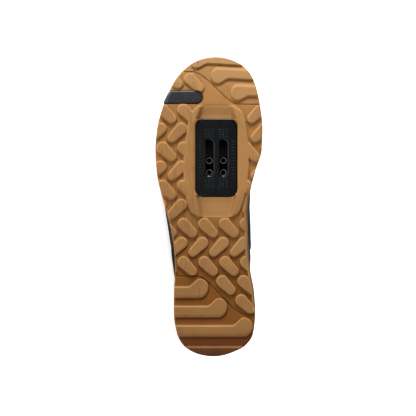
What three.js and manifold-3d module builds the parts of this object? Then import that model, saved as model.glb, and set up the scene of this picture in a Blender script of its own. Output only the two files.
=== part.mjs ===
// Cycling shoe for the right foot: a gum rubber cup sole with a window for a pedal cleat,
// and a black lace-up upper. All sizes are millimetres.
// The shoe is worked out in its own frame: x runs along the foot from heel to toe, y across
// it towards the inner side, z up from the ground. The last step lays it on its outer side.

import * as THREE from "three";
import { mergeVertices } from "three/addons/utils/BufferGeometryUtils.js";
import Module from "manifold-3d";

const wasm = await Module();
wasm.setup();

// Clearance between pieces that touch
const GAP = 0.3;

// Sole in plan
const SOLE_LENGTH = 299.5;
const BALL_WIDTH = 106;
const WAIST_WIDTH = 74;
const HEEL_WIDTH = 81;

// Sole in side view
const TOE_SPRING = 14;
const ARCH_RISE = 2;
const HEEL_RISE = 4;
const BALL_STACK = 10.5;
const HEEL_STACK = 17;
const RIM_TOE = 15;
const RIM_BALL = 12;
const RIM_WAIST = 11;
const RIM_HEEL = 15;

// Side wall of the sole
const CUP_WALL = 3.4;
const EDGE_BEVEL = 1.6;
const EDGE_BEVEL_RISE = 2.5;
const STEP_HEIGHT = 9;
const STEP_DEPTH = 0.8;
const RIM_LEAN = 0.5;
const RIM_ROUND = 0.7;

// Tread
const LUG_HEIGHT = 3;
const LUG_BEVEL = 0.9;
const LUG_BIG_RADIUS = 6;
const LUG_SMALL_RADIUS = 4.8;
const LUG_REACH = 9.1;
const LUG_PITCH_ALONG = 18.85;
const LUG_PITCH_ACROSS = 20.6;
const LUG_FIRST_ROW = 94.5;
const LUG_ROWS = 9;
const TREAD_INSET = 0.5;
const TREAD_ROOT = 3;
const GROOVE_WIDTH = 1.2;
const GROOVE_DEPTH = 1.1;

// Rails at heel and toe
const RAIL_PITCH = 19.2;
const RAIL_FLAT = 7.7;
const RAIL_BACK_BEVEL = 4.6;
const RAIL_NECK_BEVEL = 3;
const RAIL_HEAD_BEVEL = 1.8;
const RAIL_NECK_LENGTH = 12;
const HEEL_FIRST_NECK = 67;
const HEEL_LAST_FLAT = 9.2;
const HEEL_HEAD_RADIUS = 9.4;
const HEEL_HEAD_SHIFT = 0.6;
const TOE_HEAD_RADIUS = 7.8;
const TOE_FIRST_HEAD_RADIUS = 6.5;
const TOE_RAIL_SLOPE = -0.06;

// Cleat window
const PLATE_CENTRE_ALONG = SOLE_LENGTH * 0.66;
const PLATE_CENTRE_ACROSS = 3.3;
const PLATE_WIDTH = 41.4;
const PLATE_LENGTH = 77.3;
const PLATE_CORNER = 8;
const PLATE_DEPTH = 6;
const PLATE_SKIN = 2.5;
const PLATE_FLANGE = 3;
const RAMP_FRONT = 14.6;
const RAMP_REAR = 20;
const RAMP_WIDTH = 33.5;

// Slots and threaded nuts for a two-bolt cleat
const SLOT_SPACING = 14;
const SLOT_WIDTH = 8.4;
const SLOT_LENGTH = 36.7;
const SLOT_CENTRE_ALONG = PLATE_CENTRE_ALONG;
const NUT_PITCH = 12;
const NUT_DIAMETER = 6.5;
const NUT_BORE = 4.2;
const NUT_END_CLEARANCE = 0.55;
const NUT_RECESS = 0.6;
const NUT_PLATE_MARGIN = 10;
const NUT_PLATE_THICKNESS = 1.4;
const NUT_PLATE_CORNER = 2;

// Tag let into the outer edge beside the toes
const TAG_CENTRE_ALONG = SOLE_LENGTH * 0.861;
const TAG_WIDTH = 12.6;
const TAG_INNER_END = -10.2;
const TAG_PROUD = 0.8;
const TAG_THICKNESS = 2;
const TAG_RISE = 8;

// Upper
const WALL = 2;
const COLLAR_WALL = 4;
const COLLAR_WIDTH = 64;
const THROAT_WIDTH = 40;
const HEEL_HEIGHT = 86;
const ANKLE_HEIGHT = 67;
const INSTEP_HEIGHT = 97;
const VAMP_HEIGHT = 62;
const FOOT_CENTRE = 1.5;
const UPPER_BULGE = 16;
const SEAT_LIFT = 0.6;

// Overlays, tongue, insole and lace
const OVERLAY = 1.2;
const TOE_CAP_START = SOLE_LENGTH * 0.8;
const TOE_CAP_WING = 16;
const COUNTER_HEIGHT = HEEL_HEIGHT * 0.745;
const COUNTER_LENGTH = SOLE_LENGTH * 0.26;
const EYESTAY_WIDTH = 14;
const EYELET_PAIRS = 5;
const EYELET_INSET = 7;
const EYELET_DIAMETER = 4.4;
const TONGUE_THICKNESS = 4.5;
const TONGUE_GAP = 0.8;
const TONGUE_EXTENSION = 26;
const TONGUE_TUCK = 11;
const TONGUE_CROWN = 0.3;
const TONGUE_TOP_TUCK = 0.08;
const INSOLE_THICKNESS = 3.5;
const LACE_WIDTH = 6.5;
const LACE_THICKNESS = 1.4;
const LACE_CLEARANCE = 0.7;

// Depth of the small flats on which the shoe lies
const REST_FLAT = 0.4;

// Fineness of the facets
const STATIONS = 28;
const UPPER_ROWS = 8;

// Plan of the sole: each row holds the half widths as shares of the width that it follows
const OUTLINE = [
  { along: 0.0, width: HEEL_WIDTH, outer: -0.006, inner: 0.006 },
  { along: 0.0134, width: HEEL_WIDTH, outer: 0.235, inner: 0.235 },
  { along: 0.04, width: HEEL_WIDTH, outer: 0.37, inner: 0.407 },
  { along: 0.08, width: HEEL_WIDTH, outer: 0.444, inner: 0.494 },
  { along: 0.15, width: HEEL_WIDTH, outer: 0.481, inner: 0.519 },
  { along: 0.22, width: HEEL_WIDTH, outer: 0.479, inner: 0.502 },
  { along: 0.29, width: WAIST_WIDTH, outer: 0.509, inner: 0.499 },
  { along: 0.35, width: WAIST_WIDTH, outer: 0.522, inner: 0.474 },
  { along: 0.42, width: WAIST_WIDTH, outer: 0.564, inner: 0.468 },
  { along: 0.485, width: BALL_WIDTH, outer: 0.44, inner: 0.321 },
  { along: 0.55, width: BALL_WIDTH, outer: 0.4915, inner: 0.349 },
  { along: 0.615, width: BALL_WIDTH, outer: 0.528, inner: 0.396 },
  { along: 0.69, width: BALL_WIDTH, outer: 0.54, inner: 0.4575 },
  { along: 0.76, width: BALL_WIDTH, outer: 0.5236, inner: 0.464 },
  { along: 0.83, width: BALL_WIDTH, outer: 0.4717, inner: 0.4434 },
  { along: 0.885, width: BALL_WIDTH, outer: 0.4104, inner: 0.413 },
  { along: 0.93, width: BALL_WIDTH, outer: 0.3396, inner: 0.3698 },
  { along: 0.965, width: BALL_WIDTH, outer: 0.25, inner: 0.297 },
  { along: 0.987, width: BALL_WIDTH, outer: 0.151, inner: 0.198 },
  { along: 1.0, width: BALL_WIDTH, outer: -0.0236, inner: 0.0236 },
];

// Side view of the sole: tread face, floor of the cup and height of the rim above that floor
const PROFILE = [
  { along: 0.0, ground: HEEL_RISE, floor: HEEL_STACK, rim: RIM_HEEL },
  { along: 0.05, ground: HEEL_RISE * 0.2, floor: HEEL_STACK, rim: RIM_HEEL },
  { along: 0.1, ground: 0, floor: HEEL_STACK, rim: RIM_HEEL },
  { along: 0.28, ground: 0, floor: HEEL_STACK, rim: RIM_HEEL * 0.9 },
  { along: 0.4, ground: ARCH_RISE, floor: (HEEL_STACK + BALL_STACK) / 2, rim: RIM_WAIST },
  { along: 0.5, ground: ARCH_RISE * 0.2, floor: BALL_STACK, rim: RIM_WAIST },
  { along: 0.55, ground: 0, floor: BALL_STACK, rim: RIM_BALL },
  { along: 0.76, ground: 0, floor: BALL_STACK, rim: RIM_BALL },
  { along: 0.83, ground: TOE_SPRING * 0.08, floor: BALL_STACK + TOE_SPRING * 0.08, rim: RIM_BALL },
  { along: 0.885, ground: TOE_SPRING * 0.25, floor: BALL_STACK + TOE_SPRING * 0.24, rim: RIM_BALL },
  { along: 0.94, ground: TOE_SPRING * 0.54, floor: BALL_STACK + TOE_SPRING * 0.48, rim: RIM_TOE },
  { along: 1.0, ground: TOE_SPRING, floor: BALL_STACK + TOE_SPRING * 0.8, rim: RIM_TOE },
];

// Sections of the upper. Each row is one column of the wall: foot is its place along the sole,
// along, half and height place its upper end on the edge of the opening, lean is the slope
// there in degrees from upright, bulge and fill shape its lower arm, reach its upper arm.
const COLUMNS = [
  { foot: 0.0, along: 0.03, half: 0, height: HEEL_HEIGHT,
    lean: -4, bulge: UPPER_BULGE * 0.188, fill: 0.35, reach: 0.3 },
  { foot: 0.03, along: 0.038, half: COLLAR_WIDTH * 0.25, height: HEEL_HEIGHT * 0.99,
    lean: -2, bulge: UPPER_BULGE * 0.125, fill: 0.35, reach: 0.3 },
  { foot: 0.1, along: 0.09, half: COLLAR_WIDTH * 0.43, height: HEEL_HEIGHT * 0.92,
    lean: 2, bulge: UPPER_BULGE * 0.031, fill: 0.35, reach: 0.3 },
  { foot: 0.2, along: 0.19, half: COLLAR_WIDTH * 0.5, height: ANKLE_HEIGHT,
    lean: 6, bulge: UPPER_BULGE * 0.031, fill: 0.35, reach: 0.3 },
  { foot: 0.28, along: 0.275, half: COLLAR_WIDTH * 0.49, height: ANKLE_HEIGHT * 1.03,
    lean: 12, bulge: UPPER_BULGE * 0.25, fill: 0.35, reach: 0.3 },
  { foot: 0.34, along: 0.34, half: COLLAR_WIDTH * 0.4, height: INSTEP_HEIGHT * 0.83,
    lean: 30, bulge: UPPER_BULGE * 0.75, fill: 0.35, reach: 0.35 },
  { foot: 0.39, along: 0.38, half: THROAT_WIDTH * 0.54, height: INSTEP_HEIGHT,
    lean: 48, bulge: UPPER_BULGE * 1, fill: 0.35, reach: 0.4 },
  { foot: 0.45, along: 0.44, half: THROAT_WIDTH * 0.48, height: INSTEP_HEIGHT * 0.93,
    lean: 52, bulge: UPPER_BULGE * 1, fill: 0.35, reach: 0.42 },
  { foot: 0.52, along: 0.505, half: THROAT_WIDTH * 0.44, height: INSTEP_HEIGHT * 0.84,
    lean: 55, bulge: UPPER_BULGE * 0.75, fill: 0.35, reach: 0.42 },
  { foot: 0.6, along: 0.565, half: THROAT_WIDTH * 0.41, height: INSTEP_HEIGHT * 0.76,
    lean: 58, bulge: UPPER_BULGE * 0.312, fill: 0.4, reach: 0.42 },
  { foot: 0.68, along: 0.62, half: THROAT_WIDTH * 0.38, height: VAMP_HEIGHT * 1.1,
    lean: 62, bulge: UPPER_BULGE * 0.125, fill: 0.45, reach: 0.42 },
  { foot: 0.77, along: 0.665, half: THROAT_WIDTH * 0.33, height: VAMP_HEIGHT * 1.04,
    lean: 68, bulge: UPPER_BULGE * 0.125, fill: 0.55, reach: 0.44 },
  { foot: 0.88, along: 0.69, half: THROAT_WIDTH * 0.22, height: VAMP_HEIGHT * 1.01,
    lean: 76, bulge: UPPER_BULGE * 0.125, fill: 0.7, reach: 0.48 },
  { foot: 0.96, along: 0.697, half: THROAT_WIDTH * 0.1, height: VAMP_HEIGHT,
    lean: 79, bulge: UPPER_BULGE * 0.125, fill: 0.8, reach: 0.5 },
  { foot: 1.0, along: 0.7, half: 0, height: VAMP_HEIGHT,
    lean: 80, bulge: UPPER_BULGE * 0.125, fill: 0.82, reach: 0.5 },
];

// Raised wall around the cleat window, from the middle of the plate, as shares of half the
// plate's length and width
const WINDOW_WALL = [
  { along: -1.515, outer: -0.874, inner: 0.754 },
  { along: -1.43, outer: -1.135, inner: 1.068 },
  { along: -1.21, outer: -1.367, inner: 1.227 },
  { along: -0.925, outer: -1.483, inner: 1.362 },
  { along: -0.589, outer: -1.56, inner: 1.493 },
  { along: -0.149, outer: -1.575, inner: 1.56 },
  { along: 0.338, outer: -1.522, inner: 1.546 },
  { along: 0.653, outer: -1.415, inner: 1.454 },
  { along: 0.964, outer: -1.329, inner: 1.377 },
  { along: 1.184, outer: -1.184, inner: 1.251 },
  { along: 1.336, outer: -0.874, inner: 0.845 },
];

// Lugs outside the regular rows: row counts row pitches from the first row, across is a share
// of the ball width for the big end, and turn is 1 where the small end points to the inner side
const EXTRA_LUGS = [
  { row: 8, across: 0.448, turn: -1 },
  { row: 3.19, across: 0.406, turn: -1 },
  { row: -1, across: 0.084, turn: 1 },
  { row: -1, across: 0.283, turn: 1 },
  { row: -2, across: 0.264, turn: 1 },
  { row: 9.65, across: -0.215, turn: 1 },
  { row: 9.85, across: -0.411, turn: 1 },
];

// Heads of the heel rails as shares of the heel width, one rail pitch apart
const HEEL_HEADS = [-0.162, 0.07, 0.378];

// Toe rails: neck and head in rail pitches from the toe, across as a share of the ball width
const TOE_RAILS = [
  { neck: 0.323, head: 0.276, across: -0.138, radius: TOE_FIRST_HEAD_RADIUS, openBack: true },
  { neck: 1.109, head: 1.068, across: 0.053, radius: TOE_HEAD_RADIUS, openBack: false },
  { neck: 2.036, head: 1.943, across: 0.247, radius: TOE_HEAD_RADIUS, openBack: false },
];

// Fine grooves that part the rails from the lugs: away counts rail pitches from the heel or
// toe end, across is a share of the width there
const TOE_GROOVE = [
  { across: -0.47, away: 0.849 },
  { across: -0.189, away: 0.813 },
  { across: -0.151, away: 0.88 },
  { across: 0.144, away: 2.286 },
  { across: 0.196, away: 2.484 },
  { across: 0.57, away: 2.578 },
];
const HEEL_GROOVE = [
  { across: -0.62, away: 4.193 },
  { across: -0.173, away: 4.193 },
  { across: -0.111, away: 4.073 },
  { across: 0.316, away: 2.339 },
  { across: 0.383, away: 2.224 },
  { across: 0.74, away: 2.229 },
];

// Small helpers

function smoothCurve(rows, at, value) {
  const xs = rows.map(at);
  const ys = rows.map(value);
  const steps = xs.slice(1).map((x, i) => (ys[i + 1] - ys[i]) / (x - xs[i]));
  const slopes = xs.map((x, i) => {
    if (i === 0) return steps[0];
    if (i === xs.length - 1) return steps[i - 1];
    if (steps[i - 1] * steps[i] <= 0) return 0;
    return (2 * steps[i - 1] * steps[i]) / (steps[i - 1] + steps[i]);
  });
  return (x) => {
    const clamped = THREE.MathUtils.clamp(x, xs[0], xs[xs.length - 1]);
    let i = 0;
    while (i < xs.length - 2 && clamped > xs[i + 1]) i += 1;
    const span = xs[i + 1] - xs[i];
    const t = (clamped - xs[i]) / span;
    const rise = ys[i + 1] - ys[i];
    const first = slopes[i] * span;
    const last = slopes[i + 1] * span;
    const square = t * t;
    const cube = square * t;
    return ys[i] + first * t + (3 * rise - 2 * first - last) * square + (first + last - 2 * rise) * cube;
  };
}

function shareToAngle(share) {
  return Math.acos(1 - 2 * THREE.MathUtils.clamp(share, 0, 1));
}

function meshFrom(points, triangles) {
  const geometry = new THREE.BufferGeometry();
  geometry.setAttribute("position", new THREE.Float32BufferAttribute(points.flat(), 3));
  geometry.setIndex(triangles.flat());
  return geometry;
}

function signedVolume(geometry) {
  const position = geometry.attributes.position;
  const index = geometry.index;
  const a = new THREE.Vector3();
  const b = new THREE.Vector3();
  const c = new THREE.Vector3();
  let volume = 0;
  for (let i = 0; i < index.count; i += 3) {
    a.fromBufferAttribute(position, index.getX(i));
    b.fromBufferAttribute(position, index.getX(i + 1));
    c.fromBufferAttribute(position, index.getX(i + 2));
    volume += a.dot(b.cross(c)) / 6;
  }
  return volume;
}

function turnOutwards(geometry) {
  if (signedVolume(geometry) >= 0) return geometry;
  const index = geometry.index.array;
  for (let i = 0; i < index.length; i += 3) {
    [index[i], index[i + 1]] = [index[i + 1], index[i]];
  }
  return geometry;
}

function solid(geometry) {
  const bare = geometry.clone();
  bare.deleteAttribute("normal");
  bare.deleteAttribute("uv");
  const merged = turnOutwards(mergeVertices(bare, 1e-5));
  return new wasm.Manifold(new wasm.Mesh({
    numProp: 3,
    vertProperties: new Float32Array(merged.attributes.position.array),
    triVerts: new Uint32Array(merged.index.array),
  }));
}

function geometryOf(body) {
  const mesh = body.getMesh();
  const geometry = new THREE.BufferGeometry();
  geometry.setAttribute("position", new THREE.BufferAttribute(new Float32Array(mesh.vertProperties), 3));
  geometry.setIndex(new THREE.BufferAttribute(new Uint32Array(mesh.triVerts), 1));
  return geometry;
}

function union(bodies) {
  return bodies.reduce((sum, body) => sum.add(body));
}

// Closed form between outlines of equal count, each a list of [along, across] with its own
// height function; the two end faces are triangulated in plan
function stackedOutlines(levels) {
  const flats = levels.map(({ outline }) => outline.map(([x, y]) => new THREE.Vector2(x, y)));
  const clockwise = THREE.ShapeUtils.isClockWise(flats[0]);
  const ordered = levels.map(({ outline, height }) => {
    const list = clockwise ? [...outline].reverse() : outline;
    return list.map(([x, y]) => [x, y, height(x, y)]);
  });
  const count = ordered[0].length;
  const triangles = [];
  for (let level = 0; level < levels.length - 1; level += 1) {
    for (let i = 0; i < count; i += 1) {
      const next = (i + 1) % count;
      const a = level * count + i;
      const b = level * count + next;
      triangles.push([a, b, b + count], [a, b + count, a + count]);
    }
  }
  const endFaces = (level) => {
    const flat = ordered[level].map(([x, y]) => new THREE.Vector2(x, y));
    return THREE.ShapeUtils.triangulateShape(flat, []).map((face) => face.map((i) => i + level * count));
  };
  for (const [a, b, c] of endFaces(0)) triangles.push([a, c, b]);
  for (const [a, b, c] of endFaces(levels.length - 1)) triangles.push([a, b, c]);
  return meshFrom(ordered.flat(), triangles);
}

function level(height) {
  return () => height;
}

function prism(outline, low, high) {
  return solid(stackedOutlines([
    { outline, height: low },
    { outline, height: high },
  ]));
}

function arc(centre, radius, from, to, steps) {
  return Array.from({ length: steps + 1 }, (_, i) => {
    const angle = from + ((to - from) * i) / steps;
    return [centre[0] + radius * Math.cos(angle), centre[1] + radius * Math.sin(angle)];
  });
}

function roundedBox(centre, length, width, radius, steps) {
  const dx = length / 2 - radius;
  const dy = width / 2 - radius;
  const quarter = Math.PI / 2;
  const corners = [[dx, dy], [-dx, dy], [-dx, -dy], [dx, -dy]];
  return corners.flatMap(([x, y], i) =>
    arc([centre[0] + x, centre[1] + y], radius, i * quarter, (i + 1) * quarter, steps));
}

function grownOutline(outline, amount) {
  const flat = outline.map(([x, y]) => new THREE.Vector2(x, y));
  const sign = THREE.ShapeUtils.isClockWise(flat) ? -1 : 1;
  return flat.map((point, i) => {
    const before = flat[(i + flat.length - 1) % flat.length];
    const after = flat[(i + 1) % flat.length];
    const first = point.clone().sub(before).normalize();
    const second = after.clone().sub(point).normalize();
    const mean = first.clone().add(second).normalize();
    const stretch = 1 / Math.max(0.5, mean.dot(first));
    return [point.x + mean.y * sign * amount * stretch, point.y - mean.x * sign * amount * stretch];
  });
}

// Sole surfaces

const outlineAngle = (row) => shareToAngle(row.along);
const outerHalf = smoothCurve(OUTLINE, outlineAngle, (row) => row.outer * row.width);
const innerHalf = smoothCurve(OUTLINE, outlineAngle, (row) => row.inner * row.width);
const profile = (key) => {
  const curve = smoothCurve(PROFILE, (row) => row.along, (row) => row[key]);
  return (x) => curve(x / SOLE_LENGTH);
};
const ground = profile("ground");
const cupFloor = profile("floor");
const rimHeight = profile("rim");
const base = (x) => ground(x) + LUG_HEIGHT;
const rimTop = (x) => cupFloor(x) + rimHeight(x);

const stationShares = Array.from({ length: STATIONS + 1 }, (_, i) => {
  const even = i / STATIONS;
  return 0.7 * (1 - Math.cos(Math.PI * even)) / 2 + 0.3 * even;
});

// One closed ring: heel end, inner side forwards, toe end, outer side backwards
const ringStations = [
  ...stationShares.map((share) => ({ share, side: 1 })),
  ...stationShares.slice(1, -1).map((share) => ({ share, side: -1 })).reverse(),
];
const RING = ringStations.length;

function soleRing(inset) {
  const edge = ringStations.map(({ share, side }) => {
    const angle = shareToAngle(share);
    const half = side > 0 ? innerHalf(angle) : -outerHalf(angle);
    return [share * SOLE_LENGTH, half];
  });
  return grownOutline(edge, -inset);
}

function pairedCap(first, flip) {
  const triangles = [];
  for (let i = 0; i < STATIONS; i += 1) {
    const a = first + i;
    const b = first + i + 1;
    const c = first + ((RING - i - 1) % RING);
    const d = first + ((RING - i) % RING);
    if (i < STATIONS - 1) triangles.push([a, b, c]);
    if (i > 0) triangles.push([a, c, d]);
  }
  return flip ? triangles.map(([a, b, c]) => [a, c, b]) : triangles;
}

// Closed body through rings of the sole's plan, each with an inset and a height along the foot
function ringStack(levels) {
  const points = levels.flatMap(({ inset, height }) => soleRing(inset).map(([x, y]) => [x, y, height(x)]));
  const triangles = [];
  for (let k = 0; k < levels.length - 1; k += 1) {
    for (let i = 0; i < RING; i += 1) {
      const a = k * RING + i;
      const b = k * RING + ((i + 1) % RING);
      triangles.push([a, b, b + RING], [a, b + RING, a + RING]);
    }
  }
  triangles.push(...pairedCap(0, true), ...pairedCap((levels.length - 1) * RING, false));
  return solid(meshFrom(points, triangles));
}

const stepTop = (x) => base(x) + STEP_HEIGHT;

function soleBody() {
  return ringStack([
    { inset: EDGE_BEVEL, height: base },
    { inset: 0, height: (x) => base(x) + EDGE_BEVEL_RISE },
    { inset: 0, height: stepTop },
    { inset: STEP_DEPTH, height: (x) => stepTop(x) + STEP_DEPTH },
    { inset: STEP_DEPTH + RIM_LEAN, height: (x) => rimTop(x) - RIM_ROUND },
    { inset: STEP_DEPTH + RIM_LEAN + RIM_ROUND, height: rimTop },
    { inset: CUP_WALL, height: rimTop },
    { inset: CUP_WALL, height: cupFloor },
  ]);
}

// Tread

const beyond = BALL_WIDTH;

function lugOutline(big, turn, shrink) {
  const small = [big[0] - LUG_REACH, big[1] + turn * LUG_REACH];
  const distance = Math.hypot(LUG_REACH, LUG_REACH);
  const heading = Math.atan2(small[1] - big[1], small[0] - big[0]);
  const open = Math.acos((LUG_BIG_RADIUS - LUG_SMALL_RADIUS) / distance);
  return [
    ...arc(big, LUG_BIG_RADIUS - shrink, heading + open, heading + 2 * Math.PI - open, 5),
    ...arc(small, LUG_SMALL_RADIUS - shrink, heading - open, heading + open, 3),
  ];
}

const treadRoot = (x) => base(x) + TREAD_ROOT;
const bevelFoot = (x) => ground(x) + LUG_BEVEL;

function raised(root, top) {
  return solid(stackedOutlines([
    { outline: root, height: treadRoot },
    { outline: root, height: bevelFoot },
    { outline: top, height: ground },
  ]));
}

const rowAlong = (row) => LUG_FIRST_ROW + row * LUG_PITCH_ALONG;

function lug({ along, across, turn }) {
  const big = [along, across];
  return raised(lugOutline(big, turn, 0), lugOutline(big, turn, LUG_BEVEL));
}

// The regular rows leave out the lugs that would lie in the cleat window
function regularLugs() {
  const lugs = [];
  for (let row = 0; row < LUG_ROWS; row += 1) {
    const turn = row % 2 === 0 ? 1 : -1;
    const along = rowAlong(row);
    const first = BALL_WIDTH * (turn > 0 ? -0.471 : -0.489);
    for (let k = 0; k < 6; k += 1) {
      const across = first + k * LUG_PITCH_ACROSS;
      const fromWindow = Math.abs(across - PLATE_CENTRE_ACROSS) - PLATE_WIDTH / 2;
      const behindWindow = along < PLATE_CENTRE_ALONG - PLATE_LENGTH * 0.68;
      const insideEdge = Math.abs(across) < BALL_WIDTH * 0.49;
      const besideWindow = fromWindow > LUG_REACH * 0.8 && (row < LUG_ROWS - 1 || across < 0);
      if (behindWindow ? insideEdge : besideWindow) lugs.push({ along, across, turn });
    }
  }
  return lugs;
}

// Outline of a rail in its own frame, with the head's centre as origin: v runs along the foot
// towards the neck and u across it, out through the head. The rail runs back to u = -length.
function railOutline({ radius, back, neck, length, slope }) {
  const open = -back > 2 * radius;
  const backLine = (u) => back + slope * u;
  const neckLine = (u) => neck + slope * u;
  const start = open ? 0 : -Math.PI / 2;
  const head = arc([0, 0], radius, start, Math.PI / 2, open ? 4 : 8).map(([u, v]) => [v, u]);
  const bend = neckLine(-RAIL_NECK_LENGTH);
  const neckCurve = [1, 2, 3, 4].map((i) => {
    const fall = (1 - Math.cos((Math.PI * i) / 4)) / 2;
    return [radius + (bend - radius) * fall, (-RAIL_NECK_LENGTH * i) / 4];
  });
  const shoulder = open ? [[back, radius]] : [];
  return [[backLine(-length), -length], ...shoulder, ...head, ...neckCurve, [neckLine(-length), -length]];
}

// way is 1 where the head points to the inner side and -1 where it points to the outer side
function rail({ across, along, neck, radius, way, slope, openBack }) {
  const length = beyond + way * across;
  const place = ([v, u]) => [along + way * v, across + way * u];
  const flatNeck = way * (neck - along);
  const flatBack = openBack ? -RAIL_PITCH : flatNeck - RAIL_FLAT;
  const topRadius = radius - RAIL_HEAD_BEVEL;
  const top = railOutline({ radius: topRadius, back: flatBack, neck: flatNeck, length, slope });
  const root = railOutline({
    radius,
    back: openBack ? flatBack : flatBack - RAIL_BACK_BEVEL,
    neck: flatNeck + RAIL_NECK_BEVEL,
    length,
    slope,
  });
  return solid(stackedOutlines([
    { outline: root.map(place), height: treadRoot },
    { outline: root.map(place), height: base },
    { outline: top.map(place), height: ground },
  ]));
}

function windowWall() {
  const place = (along, across) => [
    PLATE_CENTRE_ALONG + (along * PLATE_LENGTH) / 2,
    PLATE_CENTRE_ACROSS + (across * PLATE_WIDTH) / 2,
  ];
  const inner = WINDOW_WALL.map((row) => place(row.along, row.inner));
  const outer = WINDOW_WALL.map((row) => place(row.along, row.outer)).reverse();
  const outline = [...inner, ...outer];
  return raised(outline, grownOutline(outline, -LUG_BEVEL));
}

function heelEndRail() {
  const block = (front) => [[-beyond, -beyond], [front, -beyond], [front, beyond], [-beyond, beyond]];
  const root = block(HEEL_LAST_FLAT + RAIL_NECK_BEVEL);
  return solid(stackedOutlines([
    { outline: root, height: treadRoot },
    { outline: root, height: base },
    { outline: block(HEEL_LAST_FLAT), height: ground },
  ]));
}

function heelRails() {
  return HEEL_HEADS.map((share, i) => {
    const neck = HEEL_FIRST_NECK - i * RAIL_PITCH;
    const along = neck + HEEL_HEAD_SHIFT;
    const across = share * HEEL_WIDTH;
    return rail({ across, along, neck, radius: HEEL_HEAD_RADIUS, way: 1, slope: 0, openBack: false });
  });
}

function toeRails() {
  return TOE_RAILS.map(({ neck, head, across, radius, openBack }) => rail({
    across: across * BALL_WIDTH,
    along: SOLE_LENGTH - head * RAIL_PITCH,
    neck: SOLE_LENGTH - neck * RAIL_PITCH,
    radius,
    way: -1,
    slope: TOE_RAIL_SLOPE,
    openBack,
  }));
}

function extraLugs() {
  return EXTRA_LUGS.map(({ row, across: share, turn }) => {
    const across = share * BALL_WIDTH;
    return lug({ along: rowAlong(row), across, turn });
  });
}

function tread() {
  const raisedParts = [
    ...regularLugs().map(lug),
    ...extraLugs(),
    ...heelRails(),
    ...toeRails(),
    heelEndRail(),
    windowWall(),
  ];
  const limits = ringStack([
    { inset: TREAD_INSET, height: (x) => ground(x) - 1 },
    { inset: TREAD_INSET, height: (x) => treadRoot(x) + 1 },
  ]);
  return union(raisedParts).intersect(limits);
}

// Cleat window: ramps before and behind, a through cut with a seat for the plate's flange

const plateCentre = [PLATE_CENTRE_ALONG, PLATE_CENTRE_ACROSS];
const plateFront = PLATE_CENTRE_ALONG + PLATE_LENGTH / 2;
const plateRear = PLATE_CENTRE_ALONG - PLATE_LENGTH / 2;
const flangeLow = PLATE_DEPTH + PLATE_SKIN - 0.3;

function plateOutline(grow) {
  return roundedBox(plateCentre, PLATE_LENGTH + 2 * grow, PLATE_WIDTH + 2 * grow, PLATE_CORNER + grow, 4);
}

function rampCut(near, far, farWidth) {
  const half = PLATE_WIDTH / 2;
  const middle = (near + far) / 2;
  const slope = (x) => PLATE_DEPTH + ((LUG_HEIGHT - PLATE_DEPTH) * (x - near)) / (far - near);
  const outline = [
    [near, PLATE_CENTRE_ACROSS - half + PLATE_CORNER / 2],
    [far, PLATE_CENTRE_ACROSS - farWidth / 2],
    [far, PLATE_CENTRE_ACROSS + farWidth / 2],
    [near, PLATE_CENTRE_ACROSS + half - PLATE_CORNER / 2],
  ];
  return prism(outline, level(-2 * LUG_HEIGHT), slope);
}

function grooveCut(path) {
  const left = [];
  const right = [];
  path.forEach(([x, y], i) => {
    const [xBefore, yBefore] = path[Math.max(0, i - 1)];
    const [xAfter, yAfter] = path[Math.min(path.length - 1, i + 1)];
    const length = Math.hypot(xAfter - xBefore, yAfter - yBefore);
    const dx = (-(yAfter - yBefore) / length) * (GROOVE_WIDTH / 2);
    const dy = ((xAfter - xBefore) / length) * (GROOVE_WIDTH / 2);
    left.push([x + dx, y + dy]);
    right.unshift([x - dx, y - dy]);
  });
  const outline = [...left, ...right];
  return prism(outline, (x) => ground(x) - 1, (x) => base(x) + GROOVE_DEPTH);
}

function grooves() {
  const toe = TOE_GROOVE.map(({ across, away }) => [SOLE_LENGTH - away * RAIL_PITCH, across * BALL_WIDTH]);
  const heel = HEEL_GROOVE.map(({ across, away }) => [away * RAIL_PITCH, across * HEEL_WIDTH]);
  return grooveCut(toe).add(grooveCut(heel));
}

// Tag at the outer edge

function tagOutline(grow) {
  const radius = TAG_WIDTH / 2 + grow;
  const centre = [TAG_CENTRE_ALONG, TAG_INNER_END - TAG_WIDTH / 2];
  const head = arc(centre, radius, Math.PI, 0, 8);
  return [...head, [TAG_CENTRE_ALONG + radius, -beyond], [TAG_CENTRE_ALONG - radius, -beyond]];
}

function tagForm(shrink) {
  return ringStack([
    { inset: EDGE_BEVEL + shrink, height: (x) => base(x) + shrink },
    { inset: shrink, height: (x) => base(x) + EDGE_BEVEL_RISE },
    { inset: shrink, height: (x) => base(x) + STEP_HEIGHT + TAG_RISE },
  ]);
}

function tagBlock(grow) {
  return prism(tagOutline(grow), level(-TOE_SPRING), (x) => base(x) + TAG_RISE + grow);
}

function toeTag() {
  return tagForm(-TAG_PROUD).subtract(tagForm(TAG_THICKNESS - TAG_PROUD)).intersect(tagBlock(0));
}

function outsole() {
  const plateCut = prism(plateOutline(GAP), level(-2 * LUG_HEIGHT), level(HEEL_STACK));
  const flangeCut = prism(plateOutline(PLATE_FLANGE + GAP), level(flangeLow - GAP), level(2 * HEEL_STACK));
  const tagCut = tagBlock(GAP).subtract(tagForm(TAG_THICKNESS - TAG_PROUD + GAP));
  const ramps = rampCut(plateFront, plateFront + RAMP_FRONT, RAMP_WIDTH)
    .add(rampCut(plateRear, plateRear - RAMP_REAR, RAMP_WIDTH));
  return soleBody()
    .add(tread())
    .subtract(ramps)
    .subtract(grooves())
    .subtract(plateCut)
    .subtract(flangeCut)
    .subtract(tagCut);
}

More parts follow.
